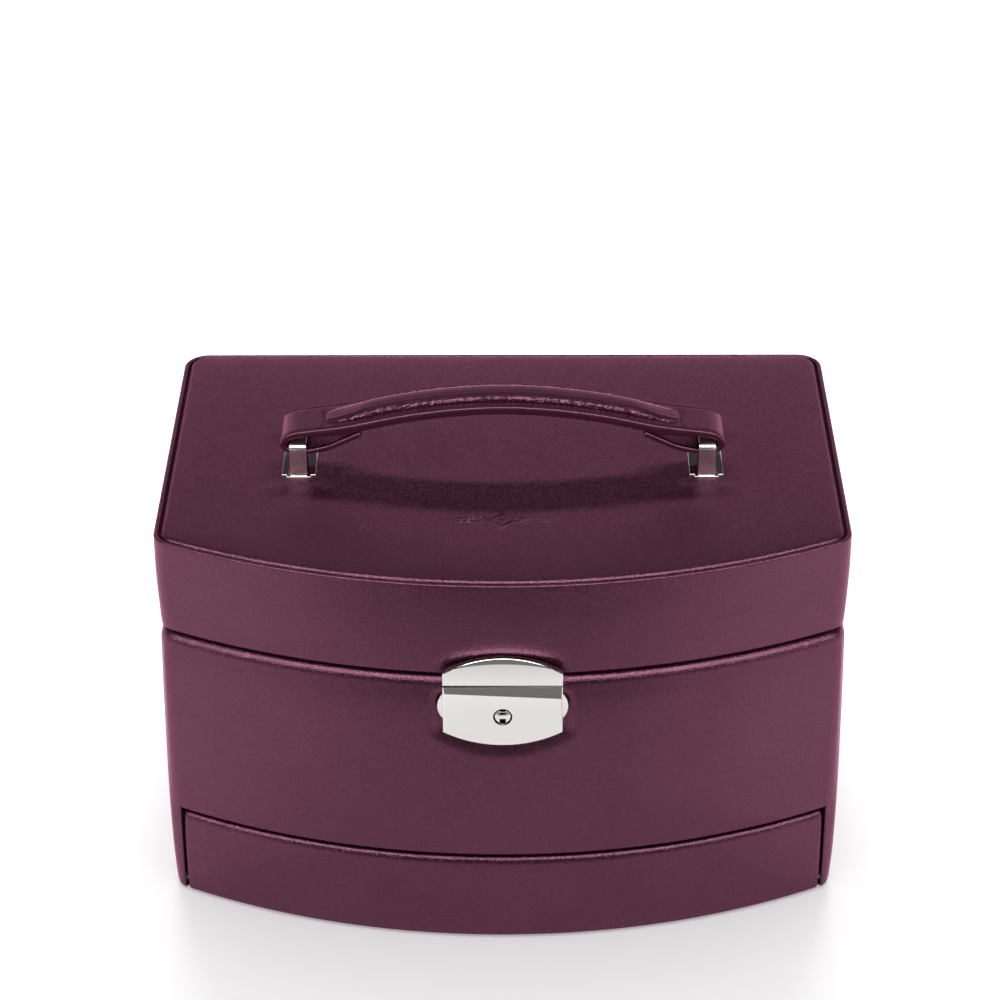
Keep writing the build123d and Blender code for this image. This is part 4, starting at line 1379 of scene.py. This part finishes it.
def make_ring_rolls():
    """Seven stuffed rolls for rings: soft, slightly squashed together, with gathered round ends."""
    radius = (roll_high.z - roll_low.z) / 2
    length = roll_high.x
    spacing = (roll_high.y - roll_low.y - 2 * radius) / 6
    middle_z = (roll_high.z + roll_low.z) / 2
    around = 40
    shoulder = 3.4
    angles = [math.radians(a) for a in range(12, 91, 13)]
    ends = [(shoulder * math.sin(a), shoulder * (1 - math.cos(a))) for a in angles]
    ends += [(shoulder - 0.05 - 0.5 * k, shoulder + (radius - shoulder) * (k + 1) / 4.4) for k in range(4)]
    middle = [(length * (2 * k / 34 - 1) * (1 - shoulder / length), 0.0) for k in range(35)]
    profile = [(-middle[-1][0] - dx, drop) for dx, drop in reversed(ends)] + middle
    profile += [(length - shoulder + dx, drop) for dx, drop in ends]
    points, faces = [], []
    for index in range(7):
        centre_y = roll_low.y + radius + index * spacing
        first = len(points)
        for x, drop in profile:
            for k in range(around):
                angle = 2 * math.pi * k / around
                gather = 0.18 * math.sin(11 * angle + index) * smoothstep(0.5, 3.0, drop)
                soft = 0.28 * wrinkle(x + 31 * index, 6 * math.cos(angle), 6 * math.sin(angle), 8) - 0.28
                seam = 0.5 * bump(angle, 3 * math.pi / 2, 0.25)
                reach = radius - drop + (soft - seam if drop < radius - 1 else 0) + gather
                y, z = reach * math.cos(angle), reach * math.sin(angle)
                y = max(min(y, spacing / 2 - 0.02), -spacing / 2 + 0.02)
                points.append((x, centre_y + y, middle_z + z))
        faces += grid_faces(len(profile), around, False, True, first) + end_caps(points, around, first)
    add_piece("ring_roll_cushions", points, faces, "tray", "velour", ["ring_rolls"], sharp=70)


def make_tray_pulls():
    """Leather tabs sewn inside the tray's ends, to lift it by."""
    half = (pull_high.y - pull_low.y) / 2
    middle_y = (pull_high.y + pull_low.y) / 2
    curve = 4.5
    loop = [(-half, pull_low.z), (half, pull_low.z)]
    for cx, start in ((1, 0), (-1, 90)):
        for k in range(9):
            angle = math.radians(start + 90 * k / 8)
            y = cx * (half - curve) + curve * math.cos(angle)
            loop.append((y, pull_high.z - curve + curve * math.sin(angle)))
    levels = [(0.35, 0.0), (0.1, 0.08), (0, 0.3), (0, 0.7), (0.1, 0.92), (0.35, 1.0)]
    points, faces = [], []
    for side in (-1, 1):
        def place(u, v, depth):
            return side * (pull_high.x - depth), middle_y + u, v

        add_part(points, faces, bevelled_solid(loop, levels, place))
    add_piece("tray_pull_tabs", points, faces, "tray", "leather_handle", ["tray_pulls"], sharp=50)


# ---- CAD pieces that stay ----

def dress_cad_nodes():
    """Give every CAD node the material of its slot."""
    slots = {entry["node"]: entry["material_slot"] for entry in frame["record"]["subparts"]}
    for name, node in frame["nodes"].items():
        node.data.materials.clear()
        node.data.materials.append(MATERIALS[slots[name]])


# ---- Stage ----

# In metres: the floor lies a hair under the felt, so that the two don't share a plane
FLOOR_Z = -0.0002

# In metres: where the pale table ends towards the camera, and how softly
TABLE_EDGE = -0.29
TABLE_BLUR = 0.055

# How bright the backdrop is overhead and behind the camera, as a share of the horizon
WORLD_TOP = 0.04
WORLD_FRONT = 0.06


def stage_plane(name, low, high, height):
    """Flat stage rectangle between two corners in X and Y, in metres."""
    mesh = bpy.data.meshes.new(name)
    corners = [(low[0], low[1]), (high[0], low[1]), (high[0], high[1]), (low[0], high[1])]
    mesh.from_pydata([(x, y, height) for x, y in corners], [], [(0, 1, 2, 3)])
    plane = bpy.data.objects.new(name, mesh)
    bpy.context.scene.collection.objects.link(plane)
    return plane


def make_floor():
    """White floor with a painted glow: it glows softly, more so away from the case, so it reads darker round
    the case, a painted shade.
    """
    floor = stage_plane("floor", (-8, -8), (8, 8), FLOOR_Z)
    material, tree, shader, place = new_material("white_floor")
    grain = texture(tree, "ShaderNodeTexNoise", place, Scale=14.0, Detail=3.0)
    colour_surface(tree, shader, grain.outputs["Fac"], (0.80, 0.80, 0.80), (0.82, 0.82, 0.82))
    shader.inputs["Roughness"].default_value = 0.6
    shader.inputs["Specular IOR Level"].default_value = 0.0
    shader.inputs["Emission Color"].default_value = (1, 1, 1, 1)
    length = tree.nodes.new("ShaderNodeVectorMath")
    length.operation = "LENGTH"
    tree.links.new(place, length.inputs[0])
    # Painted light: the floor's glow is weaker near the case, which paints shade on the ground round it
    glow = ramp(tree, length.outputs["Value"], 0.25, 0.9, 0.33, 1.0)
    tree.links.new(glow, shader.inputs["Emission Strength"])
    floor.data.materials.append(material)
    floor.visible_diffuse = False
    return floor


def make_flag():
    """Card unseen by the camera whose glow, a painted light, the leather and the lock mirror: the dark room
    past the table's edge, brighter towards the case and the sides."""
    material, tree, shader, place = new_material("glowing_reflection_card")
    shader.inputs["Base Color"].default_value = (0.02, 0.02, 0.02, 1)
    shader.inputs["Roughness"].default_value = 1.0
    # Painted reflection: the card's glow, dim past the table's edge and bright towards the case and the sides
    shader.inputs["Emission Color"].default_value = (1, 1, 1, 1)
    split = tree.nodes.new("ShaderNodeSeparateXYZ")
    tree.links.new(place, split.inputs["Vector"])
    dark = 0.15
    near = ramp(tree, split.outputs["Y"], TABLE_EDGE, TABLE_EDGE + TABLE_BLUR, dark, 1.0)
    beside = ramp(tree, compute(tree, "ABSOLUTE", split.outputs["X"]), 0.12, 0.28, dark, 1.0)
    tree.links.new(compute(tree, "MAXIMUM", near, beside), shader.inputs["Emission Strength"])
    card = stage_plane("floor_flag", (-0.3, -3.0), (0.3, TABLE_EDGE + TABLE_BLUR), 0.004)
    card.data.materials.append(material)
    card.visible_camera = False
    card.visible_shadow = False
    card.visible_diffuse = False


def area_light(name, place, target, size, power, glossy=True, diffuse=True, only=None, colour=(1, 1, 1)):
    """Rectangular soft light aimed at a point, in metres and watts. only is the one object that it lights."""
    light = bpy.data.lights.new(name, "AREA")
    light.shape = "RECTANGLE"
    light.size, light.size_y = size
    light.energy = power
    light.color = colour
    lamp = bpy.data.objects.new(name, light)
    lamp.location = place
    lamp.rotation_euler = (Vector(target) - Vector(place)).to_track_quat("-Z", "Y").to_euler()
    lamp.visible_glossy = glossy
    lamp.visible_diffuse = diffuse
    bpy.context.scene.collection.objects.link(lamp)
    if only is not None:
        group = bpy.data.collections.new(name + "_receivers")
        group.objects.link(only)
        lamp.light_linking.receiver_collection = group


def make_world():
    """Backdrop: white near the horizon, dim overhead and behind the camera. The camera sees it all white."""
    world = bpy.data.worlds.new("studio")
    bpy.context.scene.world = world
    world.use_nodes = True
    tree = world.node_tree
    background = tree.nodes["Background"]
    direction = tree.nodes.new("ShaderNodeTexCoord").outputs["Generated"]
    split = tree.nodes.new("ShaderNodeSeparateXYZ")
    tree.links.new(direction, split.inputs["Vector"])
    up = ramp(tree, split.outputs["Z"], 0.16, 0.45, 1.0, WORLD_TOP)
    front = ramp(tree, split.outputs["Y"], -0.85, -0.45, WORLD_FRONT, 1.0)
    seen = tree.nodes.new("ShaderNodeLightPath").outputs["Is Camera Ray"]
    level = compute(tree, "MAXIMUM", compute(tree, "MULTIPLY", up, front), seen)
    tree.links.new(level, background.inputs["Strength"])
    background.inputs["Color"].default_value = (1, 1, 1, 1)


def make_camera():
    """Long lens from the front, above the lid, looking down. Places are in metres."""
    camera = bpy.data.cameras.new("camera")
    camera.sensor_width = 36.0
    camera.lens = 111.25
    eye = bpy.data.objects.new("camera", camera)
    eye.location = (0.00208, -0.95265, 0.6978)
    pitch, yaw, roll = math.radians(30.68), math.radians(0.184), math.radians(-0.167)
    turn = Euler((math.pi / 2 - pitch, 0, yaw), "XYZ").to_matrix()
    eye.rotation_euler = (turn @ Euler((0, 0, roll), "XYZ").to_matrix()).to_euler()
    bpy.context.scene.collection.objects.link(eye)
    bpy.context.scene.camera = eye


# ---- Build ----

make_camera()
make_world()
floor = make_floor()
make_flag()
area_light("overhead", (0, 0.0, 2.0), (0, 0, 0), (2.6, 2.6), 42, only=floor)
area_light("key", (0, 0.78, 0.92), (0, 0, 0.14), (0.8, 0.09), 12.5, glossy=False)
area_light("glint", (0, -0.80, 1.35), (0, -0.05, 0.1), (3.8, 0.85), 60.0, diffuse=False,
           colour=(0.86, 1.0, 0.95))
dress_cad_nodes()
make_lid_band()
make_lid_panel()
make_body_skin()
make_drawer_front()
make_strap()
make_core()
make_stitches()
make_plates()
make_staples()
make_lock_plates()
make_springs()
make_key_barrel()
make_linings()
make_walls()
make_mirror_frame()
make_ring_rolls()
make_tray_pulls()

bpy.context.scene.view_settings.view_transform = "Standard"
